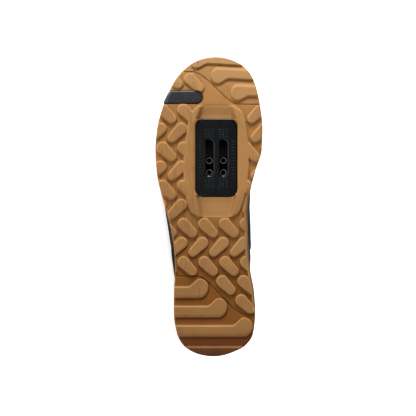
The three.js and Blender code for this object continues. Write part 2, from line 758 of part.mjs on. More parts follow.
function slotOutline(across, grow) {
  const half = SLOT_LENGTH / 2 - SLOT_WIDTH / 2;
  const radius = SLOT_WIDTH / 2 + grow;
  return [
    ...arc([SLOT_CENTRE_ALONG + half, across], radius, -Math.PI / 2, Math.PI / 2, 6),
    ...arc([SLOT_CENTRE_ALONG - half, across], radius, Math.PI / 2, (3 * Math.PI) / 2, 6),
  ];
}

const slotsAcross = [PLATE_CENTRE_ACROSS - SLOT_SPACING / 2, PLATE_CENTRE_ACROSS + SLOT_SPACING / 2];
const pocketFloor = PLATE_DEPTH + PLATE_SKIN;
const plateTop = BALL_STACK;

function cleatPlate() {
  const face = prism(plateOutline(0), level(PLATE_DEPTH), level(plateTop));
  const flange = prism(plateOutline(PLATE_FLANGE), level(flangeLow), level(plateTop));
  const pocket = prism(plateOutline(-PLATE_FLANGE), level(pocketFloor), level(2 * HEEL_STACK));
  const slots = slotsAcross.map((across) => prism(slotOutline(across, 0), level(0), level(HEEL_STACK)));
  return face.add(flange).subtract(pocket).subtract(union(slots));
}

// Nuts rest at the rear end of their slots
const firstNut = SLOT_CENTRE_ALONG - SLOT_LENGTH / 2 + NUT_END_CLEARANCE + NUT_DIAMETER / 2;
const nutsAlong = [firstNut, firstNut + NUT_PITCH];

function cylinder(centre, radius, low, high, sides) {
  const outline = arc(centre, radius, 0, 2 * Math.PI * (1 - 1 / sides), sides - 1);
  return prism(outline, level(low), level(high));
}

function cleatNuts() {
  const low = pocketFloor + GAP;
  const middle = [(nutsAlong[0] + nutsAlong[1]) / 2, PLATE_CENTRE_ACROSS];
  const stripLength = NUT_PITCH + NUT_PLATE_MARGIN;
  const stripWidth = SLOT_SPACING + NUT_PLATE_MARGIN;
  const strip = roundedBox(middle, stripLength, stripWidth, NUT_PLATE_CORNER, 2);
  const places = nutsAlong.flatMap((along) => slotsAcross.map((across) => [along, across]));
  const high = low + NUT_PLATE_THICKNESS;
  const start = PLATE_DEPTH + NUT_RECESS;
  const barrels = places.map((place) => cylinder(place, NUT_DIAMETER / 2, start, high, 12));
  const bores = places.map((place) => cylinder(place, NUT_BORE / 2, 0, HEEL_STACK, 8));
  return prism(strip, level(low), level(high)).add(union(barrels)).subtract(union(bores));
}

// Upper: a grid of columns around the foot and rows from the cup's floor to the opening

const column = (key) => smoothCurve(COLUMNS, (row) => row.foot, (row) => row[key]);
const columnCurves = Object.fromEntries(
  ["along", "half", "height", "lean", "bulge", "fill", "reach"].map((key) => [key, column(key)]));

function upperGrid() {
  const foot = soleRing(CUP_WALL + GAP);
  const outside = soleRing(CUP_WALL + GAP - 1);
  return ringStations.map(({ share, side }, i) => {
    const value = Object.fromEntries(Object.entries(columnCurves).map(([key, curve]) => [key, curve(share)]));
    const [x, y] = foot[i];
    const out = new THREE.Vector3(outside[i][0] - x, outside[i][1] - y, 0).normalize();
    const seat = new THREE.Vector3(x, y, rimTop(x) + SEAT_LIFT);
    const edge = new THREE.Vector3(value.along * SOLE_LENGTH, FOOT_CENTRE + side * value.half, value.height);
    const rise = edge.z - seat.z;
    const span = edge.distanceTo(seat);
    const lean = THREE.MathUtils.degToRad(value.lean);
    const inwards = out.clone().negate();
    const flat = edge.clone().sub(seat).setZ(0);
    if (flat.length() > rise / 4) inwards.lerp(flat.normalize(), 0.5).normalize();
    const arrive = inwards.multiplyScalar(Math.sin(lean)).setZ(Math.cos(lean));
    const curve = new THREE.CubicBezierCurve3(
      seat,
      seat.clone().addScaledVector(out, value.bulge).add(new THREE.Vector3(0, 0, rise * value.fill)),
      edge.clone().addScaledVector(arrive, -value.reach * span),
      edge,
    );
    const rows = Array.from({ length: UPPER_ROWS + 1 }, (_, k) => curve.getPoint(k / UPPER_ROWS));
    return [new THREE.Vector3(x, y, cupFloor(x) + GAP), ...rows];
  });
}

const grid = upperGrid();
const ROWS = grid[0].length;

function gridNormals() {
  return grid.map((points, i) => {
    const before = grid[(i + RING - 1) % RING];
    const after = grid[(i + 1) % RING];
    return points.map((point, k) => {
      const low = points[Math.max(k === 1 ? 1 : 0, k - 1)];
      const high = points[k === 0 ? 1 : Math.min(ROWS - 1, k + 1)];
      const around = after[k].clone().sub(before[k]);
      return high.clone().sub(low).cross(around).normalize();
    });
  });
}

const normals = gridNormals();

function wallAt(share, row) {
  const rowShare = THREE.MathUtils.smoothstep(row / (ROWS - 1), 0.55, 0.85);
  const collar = 1 - THREE.MathUtils.smoothstep(share, 0.34, 0.42);
  return WALL + (COLLAR_WALL - WALL) * rowShare * collar;
}

const onSurface = (i, k, offset) => grid[i][k].clone().addScaledVector(normals[i][k], offset);

// Closed shell between two offsets of the upper's own surface, from one row upwards
function upperShell(outside, inside, firstRow) {
  const rows = ROWS - firstRow;
  const points = [];
  for (const offset of [outside, inside]) {
    ringStations.forEach((station, i) => {
      for (let k = firstRow; k < ROWS; k += 1) {
        points.push(onSurface(i, k, offset(station.share, k)).toArray());
      }
    });
  }
  const at = (layer, i, k) => layer * RING * rows + (i % RING) * rows + k;
  const triangles = [];
  for (let i = 0; i < RING; i += 1) {
    for (let k = 0; k < rows - 1; k += 1) {
      triangles.push([at(0, i, k), at(0, i + 1, k), at(0, i + 1, k + 1)]);
      triangles.push([at(0, i, k), at(0, i + 1, k + 1), at(0, i, k + 1)]);
      triangles.push([at(1, i, k), at(1, i + 1, k + 1), at(1, i + 1, k)]);
      triangles.push([at(1, i, k), at(1, i, k + 1), at(1, i + 1, k + 1)]);
    }
    for (const [k, flip] of [[0, false], [rows - 1, true]]) {
      const strip = [
        [at(0, i, k), at(1, i, k), at(1, i + 1, k)],
        [at(0, i, k), at(1, i + 1, k), at(0, i + 1, k)],
      ];
      triangles.push(...(flip ? strip.map(([a, b, c]) => [a, c, b]) : strip));
    }
  }
  return solid(meshFrom(points, triangles));
}

const upperWall = () => upperShell(() => 0, (share, k) => -wallAt(share, k), 0);
const overlayShell = () => upperShell(() => GAP + OVERLAY, () => GAP, 1);

// Prism across the shoe from an outline of [along, height]
function sidePrism(outline) {
  const turned = stackedOutlines([
    { outline, height: level(-beyond) },
    { outline, height: level(beyond) },
  ]);
  turned.rotateX(Math.PI / 2);
  return solid(turned);
}

function toeCap() {
  const edge = Array.from({ length: 9 }, (_, i) => {
    const across = ((i - 4) / 4) * (BALL_WIDTH / 2);
    const share = across / (BALL_WIDTH / 2);
    return [TOE_CAP_START - TOE_CAP_WING * share * share, across * 1.3];
  });
  const outline = [...edge, [SOLE_LENGTH + 20, BALL_WIDTH], [SOLE_LENGTH + 20, -BALL_WIDTH]];
  return overlayShell().intersect(prism(outline, level(0), level(2 * INSTEP_HEIGHT)));
}

function heelCounter() {
  const outline = [
    [-20, 0],
    [COUNTER_LENGTH, 0],
    [COUNTER_LENGTH * 0.9, COUNTER_HEIGHT * 0.66],
    [COUNTER_LENGTH * 0.6, COUNTER_HEIGHT * 0.8],
    [COUNTER_LENGTH * 0.3, COUNTER_HEIGHT * 0.95],
    [-20, COUNTER_HEIGHT],
  ];
  return overlayShell().intersect(sidePrism(outline));
}

const throatColumns = ringStations
  .map(({ share, side }, i) => ({ share, side, i }))
  .filter(({ share, side }) => side > 0 && share > 0.375 && share < 0.99);

function eyestay() {
  const inner = [];
  const outer = [];
  for (const { i } of throatColumns) {
    const innerEdge = grid[i][ROWS - 1];
    const outerEdge = grid[RING - i][ROWS - 1];
    const turn = normals[i][ROWS - 1];
    inner.push([innerEdge.x + turn.x * EYESTAY_WIDTH, innerEdge.y + EYESTAY_WIDTH]);
    outer.push([outerEdge.x + turn.x * EYESTAY_WIDTH, outerEdge.y - EYESTAY_WIDTH]);
  }
  const front = grid[STATIONS][ROWS - 1].x + EYESTAY_WIDTH;
  const frontHalf = THROAT_WIDTH * 0.33;
  const outline = [
    ...inner.filter(([x]) => x < front - EYESTAY_WIDTH),
    [front - 3, FOOT_CENTRE + frontHalf],
    [front, FOOT_CENTRE],
    [front - 3, FOOT_CENTRE - frontHalf],
    ...outer.filter(([x]) => x < front - EYESTAY_WIDTH).reverse(),
  ];
  return overlayShell().intersect(prism(outline, level(VAMP_HEIGHT * 0.8), level(2 * INSTEP_HEIGHT)));
}

function insole() {
  const inset = CUP_WALL + GAP + WALL + GAP;
  return ringStack([
    { inset, height: (x) => cupFloor(x) + GAP },
    { inset, height: (x) => cupFloor(x) + GAP + INSOLE_THICKNESS },
  ]);
}

// Tongue: a padded strip under the throat that runs on above the collar

function tongue() {
  const tuckedPoint = (i, share, distance) => {
    let left = distance;
    for (let k = ROWS - 1; k > 1; k -= 1) {
      const here = onSurface(i, k, -wallAt(share, k) - TONGUE_GAP);
      const next = onSurface(i, k - 1, -wallAt(share, k - 1) - TONGUE_GAP);
      const step = here.distanceTo(next);
      if (step >= left) return here.lerp(next, left / step);
      left -= step;
    }
    return null;
  };
  const rows = throatColumns.filter(({ share }) => share < 0.86).map(({ i, share }, j) => {
    const tuck = TONGUE_TUCK * Math.min(1, TONGUE_TOP_TUCK + j * TONGUE_TOP_TUCK);
    const side = (column) => [1, 0.5, 0].map((part) => tuckedPoint(column, share, part * tuck));
    const outer = side(RING - i);
    const inner = side(i).reverse();
    const middle = outer[2].clone().lerp(inner[0], 0.5);
    const half = outer[2].distanceTo(inner[0]) / 2;
    middle.z += half * TONGUE_CROWN;
    return [...outer, middle, ...inner];
  });
  const top = rows[0];
  const direction = rows[0][3].clone().sub(rows[1][3]).normalize();
  const extension = [1, 0.5].map((part) => top.map((point) =>
    point.clone().addScaledVector(direction, TONGUE_EXTENSION * part)));
  const surface = [...extension, ...rows];
  const count = surface[0].length;
  const below = surface.map((row, j) => row.map((point, k) => {
    const before = surface[Math.max(0, j - 1)][k];
    const after = surface[Math.min(surface.length - 1, j + 1)][k];
    const left = row[Math.max(0, k - 1)];
    const right = row[Math.min(count - 1, k + 1)];
    const turn = after.clone().sub(before).cross(right.clone().sub(left)).normalize();
    const depth = k === 0 || k === count - 1 ? TONGUE_THICKNESS * 0.4 : TONGUE_THICKNESS;
    return point.clone().addScaledVector(turn, turn.z > 0 ? -depth : depth);
  }));
  const points = [...surface.flat(), ...below.flat()].map((point) => point.toArray());
  const at = (layer, j, k) => layer * surface.length * count + j * count + k;
  const triangles = [];
  const quad = (a, b, c, d) => triangles.push([a, b, c], [a, c, d]);
  const lastRow = surface.length - 1;
  const lastPoint = count - 1;
  for (let j = 0; j < lastRow; j += 1) {
    for (let k = 0; k < lastPoint; k += 1) {
      quad(at(0, j, k), at(0, j + 1, k), at(0, j + 1, k + 1), at(0, j, k + 1));
      quad(at(1, j, k), at(1, j, k + 1), at(1, j + 1, k + 1), at(1, j + 1, k));
    }
    quad(at(0, j, 0), at(1, j, 0), at(1, j + 1, 0), at(0, j + 1, 0));
    quad(at(0, j, lastPoint), at(0, j + 1, lastPoint), at(1, j + 1, lastPoint), at(1, j, lastPoint));
  }
  for (let k = 0; k < lastPoint; k += 1) {
    quad(at(0, 0, k), at(0, 0, k + 1), at(1, 0, k + 1), at(1, 0, k));
    quad(at(0, lastRow, k), at(1, lastRow, k), at(1, lastRow, k + 1), at(0, lastRow, k + 1));
  }
  return solid(meshFrom(points, triangles));
}

// Lace: crossings between the eyelet pairs, and one bar at the front pair

const laceLift = GAP + OVERLAY + LACE_CLEARANCE + LACE_THICKNESS / 2;

// Point on the wall beside the throat: place counts throat columns from the top, distance
// runs down the wall from the throat's edge and offset lifts it off the upper's surface
function throatPoint(side, place, distance, offset) {
  const at = (k) => {
    const { i } = throatColumns[k];
    const column = side > 0 ? i : RING - i;
    const edge = onSurface(column, ROWS - 1, offset);
    const below = onSurface(column, ROWS - 2, offset);
    return edge.lerp(below, distance / edge.distanceTo(below));
  };
  const first = Math.floor(place);
  return at(first).lerp(at(first + 1), place - first);
}

function throatNormal(side, place) {
  const outside = throatPoint(side, place, EYELET_INSET, 1);
  return outside.sub(throatPoint(side, place, EYELET_INSET, 0)).normalize();
}

const eyeletPlace = (pair) => pair + 0.5;

function eyeletHoles() {
  const places = Array.from({ length: EYELET_PAIRS }, (_, pair) => eyeletPlace(pair));
  return union([1, -1].flatMap((side) => places.map((place) => {
    const radius = EYELET_DIAMETER / 2;
    const drill = new THREE.CylinderGeometry(radius, radius, 6 * WALL, 6);
    const direction = throatNormal(side, place);
    drill.applyQuaternion(new THREE.Quaternion().setFromUnitVectors(new THREE.Vector3(0, 1, 0), direction));
    drill.translate(...throatPoint(side, place, EYELET_INSET, 0).toArray());
    return solid(drill);
  })));
}

function ribbon(points, ups) {
  const ring = points.flatMap((point, i) => {
    const before = points[Math.max(0, i - 1)];
    const after = points[Math.min(points.length - 1, i + 1)];
    const wide = after.clone().sub(before).cross(ups[i]).normalize().multiplyScalar(LACE_WIDTH / 2);
    const thick = ups[i].clone().multiplyScalar(LACE_THICKNESS / 2);
    return [[1, 1], [-1, 1], [-1, -1], [1, -1]].map(([a, b]) =>
      point.clone().addScaledVector(wide, a).addScaledVector(thick, b).toArray());
  });
  const triangles = [[0, 1, 2], [0, 2, 3]];
  const last = (points.length - 1) * 4;
  triangles.push([last, last + 2, last + 1], [last, last + 3, last + 2]);
  for (let i = 0; i < points.length - 1; i += 1) {
    for (let k = 0; k < 4; k += 1) {
      const a = i * 4 + k;
      const b = i * 4 + ((k + 1) % 4);
      triangles.push([a, a + 4, b], [b, a + 4, b + 4]);
    }
  }
  return solid(meshFrom(ring, triangles));
}

function laceRun(side, from, to) {
  const quarter = (to - from) / 4;
  const places = [from, from + quarter, from + 2 * quarter, to - quarter, to];
  const start = throatPoint(side, places[0], EYELET_INSET, laceLift);
  const rise = throatPoint(side, places[1], 0, laceLift);
  const fall = throatPoint(-side, places[3], 0, laceLift);
  const end = throatPoint(-side, places[4], EYELET_INSET, laceLift);
  const middle = rise.clone().lerp(fall, 0.5);
  middle.z += rise.distanceTo(fall) * TONGUE_CROWN / 2;
  const first = throatNormal(side, places[0]);
  const last = throatNormal(-side, places[4]);
  const over = first.clone().add(last).normalize();
  return ribbon([start, rise, middle, fall, end], [first, first, over, last, last]);
}

function laces() {
  const runs = [];
  for (let pair = 0; pair < EYELET_PAIRS - 1; pair += 1) {
    for (const side of [1, -1]) runs.push(laceRun(side, eyeletPlace(pair), eyeletPlace(pair + 1)));
  }
  runs.push(laceRun(1, eyeletPlace(EYELET_PAIRS - 1), eyeletPlace(EYELET_PAIRS - 1)));
  return union(runs);
}

const materials = {
  gum: new THREE.MeshStandardMaterial({ color: 0xb07a45, roughness: 0.6, metalness: 0 }),
  black: new THREE.MeshStandardMaterial({ color: 0x222427, roughness: 0.65, metalness: 0 }),
  plate: new THREE.MeshStandardMaterial({ color: 0x15191b, roughness: 0.5, metalness: 0 }),
  steel: new THREE.MeshStandardMaterial({ color: 0x3a3b3d, roughness: 0.35, metalness: 1 }),
};

// The shoe lies on its outer side: two places on the sole's edge and one on the upper touch
// the floor, so its plane is found from the points that lie lowest as it settles

function cornersOf(body) {
  const { vertProperties } = body.getMesh();
  const corners = [];
  for (let i = 0; i < vertProperties.length; i += 3) {
    corners.push(new THREE.Vector3(vertProperties[i], vertProperties[i + 1], vertProperties[i + 2]));
  }
  return corners;
}

function lowest(corners, up) {
  return corners.reduce((best, corner) => (corner.dot(up) < best.dot(up) ? corner : best));
}

function floorPlane(sole, upper) {
  const front = sole.filter((corner) => corner.x > SOLE_LENGTH / 2);
  const rear = sole.filter((corner) => corner.x < SOLE_LENGTH / 2);
  let plane = new THREE.Plane(new THREE.Vector3(0, 1, 0), 0);
  for (let settle = 0; settle < 20; settle += 1) {
    const touching = [front, rear, upper].map((corners) => lowest(corners, plane.normal));
    const next = new THREE.Plane().setFromCoplanarPoints(...touching);
    if (next.normal.y < 0) next.negate();
    if (next.normal.distanceTo(plane.normal) < 1e-9) break;
    plane = next;
  }
  return plane;
}

const whole = { outsole: outsole(), upper: upperWall() };
const floor = floorPlane(cornersOf(whole.outsole), cornersOf(whole.upper));
const shoeUp = new THREE.Vector3(0, 0, 1);
const worldY = shoeUp.clone().addScaledVector(floor.normal, -shoeUp.dot(floor.normal)).normalize();
const worldX = worldY.clone().cross(floor.normal);
const lying = new THREE.Matrix4().makeBasis(worldX, worldY, floor.normal).transpose();

function belowFloor(lift) {
  const size = 3 * SOLE_LENGTH;
  const block = new THREE.BoxGeometry(size, size, size);
  block.translate(0, 0, REST_FLAT + lift - floor.constant - size / 2);
  block.applyMatrix4(lying.clone().invert());
  return solid(block);
}

const holes = eyeletHoles();

const bodies = [
  ["outsole", whole.outsole.subtract(belowFloor(0)), materials.gum],
  ["cleat_plate", cleatPlate(), materials.plate],
  ["cleat_nuts", cleatNuts(), materials.steel],
  ["toe_tag", toeTag(), materials.black],
  ["upper", whole.upper.subtract(belowFloor(0)).subtract(holes), materials.black],
  ["toe_cap", toeCap(), materials.black],
  ["heel_counter", heelCounter().subtract(belowFloor(GAP)), materials.black],
  ["eyestay", eyestay().subtract(holes), materials.black],
  ["tongue", tongue(), materials.black],
  ["insole", insole(), materials.black],
  ["laces", laces(), materials.black],
];

const shoe = new THREE.Group();
for (const [name, body, material] of bodies) {
  const mesh = new THREE.Mesh(geometryOf(body), material);
  mesh.name = name;
  shoe.add(mesh);
}
shoe.quaternion.setFromRotationMatrix(lying);

const part = new THREE.Group();
part.add(shoe);
part.updateMatrixWorld(true);
const extent = new THREE.Box3().setFromObject(part, true);
shoe.position.set(
  -(extent.min.x + extent.max.x) / 2,
  -(extent.min.y + extent.max.y) / 2,
  -extent.min.z,
);

export default part;
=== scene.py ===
"""Looks of a cycling shoe for the right foot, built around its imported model.

Shapes are worked out in the shoe's own frame in millimetres: s runs from the heel to the toe,
w across the foot towards its inner side, and z up from the ground under the sole.
"""

import math

import bpy
import numpy as np
from mathutils import Matrix, geometry


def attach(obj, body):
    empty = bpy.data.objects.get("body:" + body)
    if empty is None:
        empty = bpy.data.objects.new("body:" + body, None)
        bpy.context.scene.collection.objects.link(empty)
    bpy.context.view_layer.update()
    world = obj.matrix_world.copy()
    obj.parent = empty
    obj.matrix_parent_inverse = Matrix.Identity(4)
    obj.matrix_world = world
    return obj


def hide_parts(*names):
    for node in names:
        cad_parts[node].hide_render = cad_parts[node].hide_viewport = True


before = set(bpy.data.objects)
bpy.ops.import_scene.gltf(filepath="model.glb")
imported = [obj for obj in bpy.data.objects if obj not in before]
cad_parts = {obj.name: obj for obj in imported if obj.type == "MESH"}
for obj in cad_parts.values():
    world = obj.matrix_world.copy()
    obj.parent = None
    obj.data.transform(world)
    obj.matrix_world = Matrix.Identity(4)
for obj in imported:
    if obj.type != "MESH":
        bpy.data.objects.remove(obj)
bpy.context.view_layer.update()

# The shoe's own frame as it lies on the floor
ORIGIN = np.array([148.573, -54.369, 34.802])
TOEWARDS = np.array([-0.993298, 0.010638, 0.115094])
INWARDS = np.array([0.115585, 0.091392, 0.989084])
UPWARDS = np.array([0.0, 0.995758, -0.092009])

# Sole
SOLE_LENGTH = 299.5
BALL_WIDTH = 106
WAIST_WIDTH = 74
HEEL_WIDTH = 81
TOE_SPRING = 14
ARCH_RISE = 2
HEEL_RISE = 4
BALL_STACK = 10.5
HEEL_STACK = 17
RIM_TOE = 15
RIM_BALL = 12
RIM_WAIST = 11
RIM_HEEL = 15
CUP_WALL = 3.4
EDGE_BEVEL = 1.6
EDGE_BEVEL_RISE = 2.5
STEP_HEIGHT = 9
STEP_DEPTH = 0.8
GAP = 0.3

# Tread
LUG_HEIGHT = 3
LUG_BIG_RADIUS = 6
LUG_SMALL_RADIUS = 4.8
LUG_REACH = 9.1
LUG_PITCH_ALONG = 18.85
LUG_PITCH_ACROSS = 20.6
LUG_FIRST_ROW = 94.5
LUG_ROWS = 9
LUG_ROW_STARTS = {1: -0.471, -1: -0.489}
TREAD_INSET = 0.5
GROOVE_WIDTH = 1.2
GROOVE_DEPTH = 1.1
RAIL_PITCH = 19.2
RAIL_FLAT = 7.7
RAIL_BACK_BEVEL = 4.6
RAIL_NECK_BEVEL = 3
TOE_NECK_BEVEL = 1.8
RAIL_HEAD_BEVEL = 1.8
RAIL_NECK_LENGTH = 12
HEEL_FIRST_NECK = 69
HEEL_LAST_FLAT = 9.2
HEEL_HEAD_RADIUS = 9.4
HEEL_HEAD_SHIFT = 0.6
TOE_HEAD_RADIUS = 7.8
TOE_FIRST_HEAD_RADIUS = 6.5
TOE_RAIL_SLOPE = -0.06
WAIST_BAND = 3.2
WAIST_REAR = (40, 62)
WAIST_FRONT = (158, 172)
EDGE_ROLL = 0.8
HEEL_END_ROLL = 3.4
HEEL_END_LENGTH = 13

# Cleat window, plate, slots and nuts
PLATE_CENTRE = (SOLE_LENGTH * 0.66, 3.3)
PLATE_WIDTH = 41.4
PLATE_LENGTH = 77.3
PLATE_CORNER = 8
PLATE_DEPTH = 6
PLATE_SKIN = 2.5
PLATE_FLANGE = 3
RAMP_FRONT = 14.6
RAMP_REAR = 20
RAMP_SIDE = 4.6
RAMP_NARROWING = 4.2
RAMP_FLAT_SHARE = 0.3
WINDOW_BEVEL = 2.2
WINDOW_BEVEL_DEPTH = 1.9
SLOT_SPACING = 14
SLOT_WIDTH = 8.4
SLOT_LENGTH = 36.7
NUT_PITCH = 12
NUT_DIAMETER = 6.5
NUT_BORE = 4.2
NUT_END_CLEARANCE = 0.55
NUT_RECESS = 0.6
NUT_PLATE_MARGIN = 10
NUT_PLATE_THICKNESS = 1.4
BAR_HALF = 0.24
BAR_HEIGHT = 0.16
SCALE_GAP = 1.6
SCALE_BAR_HALF = 4.5
SCALE_PITCH = 2.5
SCALE_TICKS = 4
SCALE_REACH = 1.6
SCALE_BESIDE = 3.2
SIDE_TICKS = 12
SIDE_PITCH = 3.3
SIDE_START = 17
SIDE_MARGIN = 2.4
SIDE_REACHES = (1.9, 1.5)
SLOTS_ACROSS = [PLATE_CENTRE[1] - SLOT_SPACING / 2, PLATE_CENTRE[1] + SLOT_SPACING / 2]

# Tag
TAG_CENTRE = SOLE_LENGTH * 0.861
TAG_WIDTH = 12.6
TAG_INNER_END = -10.2
TAG_PROUD = 0.8
TAG_THICKNESS = 2
TAG_RISE = 8
TAG_BEVEL = 3.6

# Upper and what lies on it and in it
WALL = 2
COLLAR_WALL = 4
COLLAR_WIDTH = 64
THROAT_WIDTH = 40
HEEL_HEIGHT = 86
ANKLE_HEIGHT = 67
INSTEP_HEIGHT = 97
VAMP_HEIGHT = 62
FOOT_CENTRE = 1.5
UPPER_BULGE = 16
SEAT_LIFT = 0.6
OVERLAY = 1.2
TOE_CAP_START = SOLE_LENGTH * 0.8
TOE_CAP_WING = 16
COUNTER_HEIGHT = HEEL_HEIGHT * 0.745
COUNTER_LENGTH = SOLE_LENGTH * 0.26
EYESTAY_WIDTH = 14
EYESTAY_BOW = 1.8
EYELET_PAIRS = 5
EYELET_INSET = 7
EYELET_DIAMETER = 4.4
TONGUE_THICKNESS = 4.5
TONGUE_GAP = 0.8
TONGUE_EXTENSION = 26
TONGUE_TUCK = 11
TONGUE_CROWN = 0.3
TONGUE_TOP_TUCK = 0.08
TONGUE_FRONT_PLACE = 9.6
TONGUE_FRONT_REACH = 12
TONGUE_FRONT_FALL = 0.6
INSOLE_THICKNESS = 3.5
LACE_WIDTH = 6.5
LACE_THICKNESS = 1.4
LACE_CLEARANCE = 0.7
LACE_LIFT = GAP + OVERLAY + LACE_CLEARANCE + LACE_THICKNESS / 2
COLLAR_PAD = 16
COLLAR_SWELL = 1.4
STITCH_PITCH = 3.0
STITCH_LENGTH = 2.2
STITCH_RADIUS = 0.38
STITCH_INSET = 2.0
LINING_DEPTH = 40
LINING_END = 0.33
LINING_SWELL = 1.6
LINING_SEAM = 0.8
STITCHED_BELOW_EDGE = 3.5

# Light, floor and camera: the white sweep behind the shoe, the dim room before it and the room's
# brighter side by the toe
BACK_LIGHT = 1.08
ROOM_LIGHT = 0.08
TOE_SIDE_LIGHT = 0.17
SOFTBOX_SIZE = 0.6
KEY_POWER = 56
TOP_POWER = 2.5
FLOOR_GLOW = 0.7
FLOOR_HALF = 15
CAMERA_DISTANCE = 1.142

# Fineness of the meshes, their sharpest smooth edge in degrees, and a field's value far outside
TREAD_CELL = 0.65
PATCH_CELL = 0.6
STATIONS = 190
UPPER_ROWS = 64
CAD_STATIONS = 28
SHARP_ANGLE = 40
OUTSIDE = -9.0

# Side of a lug: distance inside its outline, share of its height
LUG_SIDE = [(-0.55, 0), (-0.15, 0.12), (0.15, 0.66), (0.55, 0.86), (1.0, 0.97), (1.5, 1)]

# Plan of the sole: share of the length, width that the row follows, outer and inner half
OUTLINE = [
    (0.0, HEEL_WIDTH, -0.006, 0.006),
    (0.0134, HEEL_WIDTH, 0.235, 0.235),
    (0.04, HEEL_WIDTH, 0.37, 0.407),
    (0.08, HEEL_WIDTH, 0.444, 0.494),
    (0.15, HEEL_WIDTH, 0.481, 0.519),
    (0.22, HEEL_WIDTH, 0.479, 0.502),
    (0.29, WAIST_WIDTH, 0.509, 0.499),
    (0.35, WAIST_WIDTH, 0.522, 0.474),
    (0.42, WAIST_WIDTH, 0.564, 0.468),
    (0.485, BALL_WIDTH, 0.44, 0.321),
    (0.55, BALL_WIDTH, 0.4915, 0.349),
    (0.615, BALL_WIDTH, 0.528, 0.396),
    (0.69, BALL_WIDTH, 0.54, 0.4575),
    (0.76, BALL_WIDTH, 0.5236, 0.464),
    (0.83, BALL_WIDTH, 0.4717, 0.4434),
    (0.885, BALL_WIDTH, 0.4104, 0.413),
    (0.93, BALL_WIDTH, 0.3396, 0.3698),
    (0.965, BALL_WIDTH, 0.25, 0.297),
    (0.987, BALL_WIDTH, 0.151, 0.198),
    (1.0, BALL_WIDTH, -0.0236, 0.0236),
]

# Side view of the sole: share of the length, tread face, cup floor, rim above that floor
PROFILE = [
    (0.0, HEEL_RISE, HEEL_STACK, RIM_HEEL),
    (0.05, HEEL_RISE * 0.2, HEEL_STACK, RIM_HEEL),
    (0.1, 0, HEEL_STACK, RIM_HEEL),
    (0.28, 0, HEEL_STACK, RIM_HEEL * 0.9),
    (0.4, ARCH_RISE, (HEEL_STACK + BALL_STACK) / 2, RIM_WAIST),
    (0.5, ARCH_RISE * 0.2, BALL_STACK, RIM_WAIST),
    (0.55, 0, BALL_STACK, RIM_BALL),
    (0.76, 0, BALL_STACK, RIM_BALL),
    (0.83, TOE_SPRING * 0.08, BALL_STACK + TOE_SPRING * 0.08, RIM_BALL),
    (0.885, TOE_SPRING * 0.25, BALL_STACK + TOE_SPRING * 0.24, RIM_BALL),
    (0.94, TOE_SPRING * 0.54, BALL_STACK + TOE_SPRING * 0.48, RIM_TOE),
    (1.0, TOE_SPRING, BALL_STACK + TOE_SPRING * 0.8, RIM_TOE),
]

# Columns of the upper: foot and along as shares of the length, half width and height of the
# upper end, lean there in degrees from upright, bulge and fill of the lower arm, upper reach
COLUMNS = [
    (0.0, 0.03, 0, HEEL_HEIGHT, -4, 0.188, 0.35, 0.3),
    (0.03, 0.038, COLLAR_WIDTH * 0.25, HEEL_HEIGHT * 0.99, -2, 0.125, 0.35, 0.3),
    (0.1, 0.09, COLLAR_WIDTH * 0.43, HEEL_HEIGHT * 0.92, 2, 0.031, 0.35, 0.3),
    (0.2, 0.19, COLLAR_WIDTH * 0.5, ANKLE_HEIGHT, 6, 0.031, 0.35, 0.3),
    (0.28, 0.275, COLLAR_WIDTH * 0.49, ANKLE_HEIGHT * 1.03, 12, 0.25, 0.35, 0.3),
    (0.34, 0.34, COLLAR_WIDTH * 0.4, INSTEP_HEIGHT * 0.83, 30, 0.75, 0.35, 0.35),
    (0.39, 0.38, THROAT_WIDTH * 0.54, INSTEP_HEIGHT, 48, 1, 0.35, 0.4),
    (0.45, 0.44, THROAT_WIDTH * 0.48, INSTEP_HEIGHT * 0.93, 52, 1, 0.35, 0.42),
    (0.52, 0.505, THROAT_WIDTH * 0.44, INSTEP_HEIGHT * 0.84, 55, 0.75, 0.35, 0.42),
    (0.6, 0.565, THROAT_WIDTH * 0.41, INSTEP_HEIGHT * 0.76, 58, 0.312, 0.4, 0.42),
    (0.68, 0.62, THROAT_WIDTH * 0.38, VAMP_HEIGHT * 1.1, 62, 0.125, 0.45, 0.42),
    (0.77, 0.665, THROAT_WIDTH * 0.33, VAMP_HEIGHT * 1.04, 68, 0.125, 0.55, 0.44),
    (0.88, 0.69, THROAT_WIDTH * 0.22, VAMP_HEIGHT * 1.01, 76, 0.125, 0.7, 0.48),
    (0.96, 0.697, THROAT_WIDTH * 0.1, VAMP_HEIGHT, 79, 0.125, 0.8, 0.5),
    (1.0, 0.7, 0, VAMP_HEIGHT, 80, 0.125, 0.82, 0.5),
]

# Creases where the foot bends: share of the length, side (0 both), height, slant in degrees,
# half length, half width, depth
CREASES = [
    (0.70, 0, 44, 8, 34, 5.0, -1.1),
    (0.735, 0, 38, 4, 34, 5.5, -1.3),
    (0.765, 0, 35, -2, 30, 4.5, -0.8),
    (0.36, 1, 46, 62, 22, 5.0, -1.2),
    (0.40, 1, 40, 70, 18, 4.5, -0.8),
    (0.36, -1, 46, 62, 22, 5.0, -1.2),
    (0.41, -1, 40, 70, 18, 4.5, -0.8),
    (0.20, 1, 48, 20, 16, 4.5, -0.7),
    (0.20, -1, 48, 20, 16, 4.5, -0.7),
]

# What the upper bulges more or less than the table says, in millimetres: share of the length,
# inner side, outer side
SIDE_BULGES = [
    (0.15, 0, 0), (0.22, 2, 5), (0.28, 5, 11), (0.34, 3, 7), (0.39, -6, 4), (0.45, -4, 1), (0.56, 1, 0),
    (0.7, 0, 0),
]

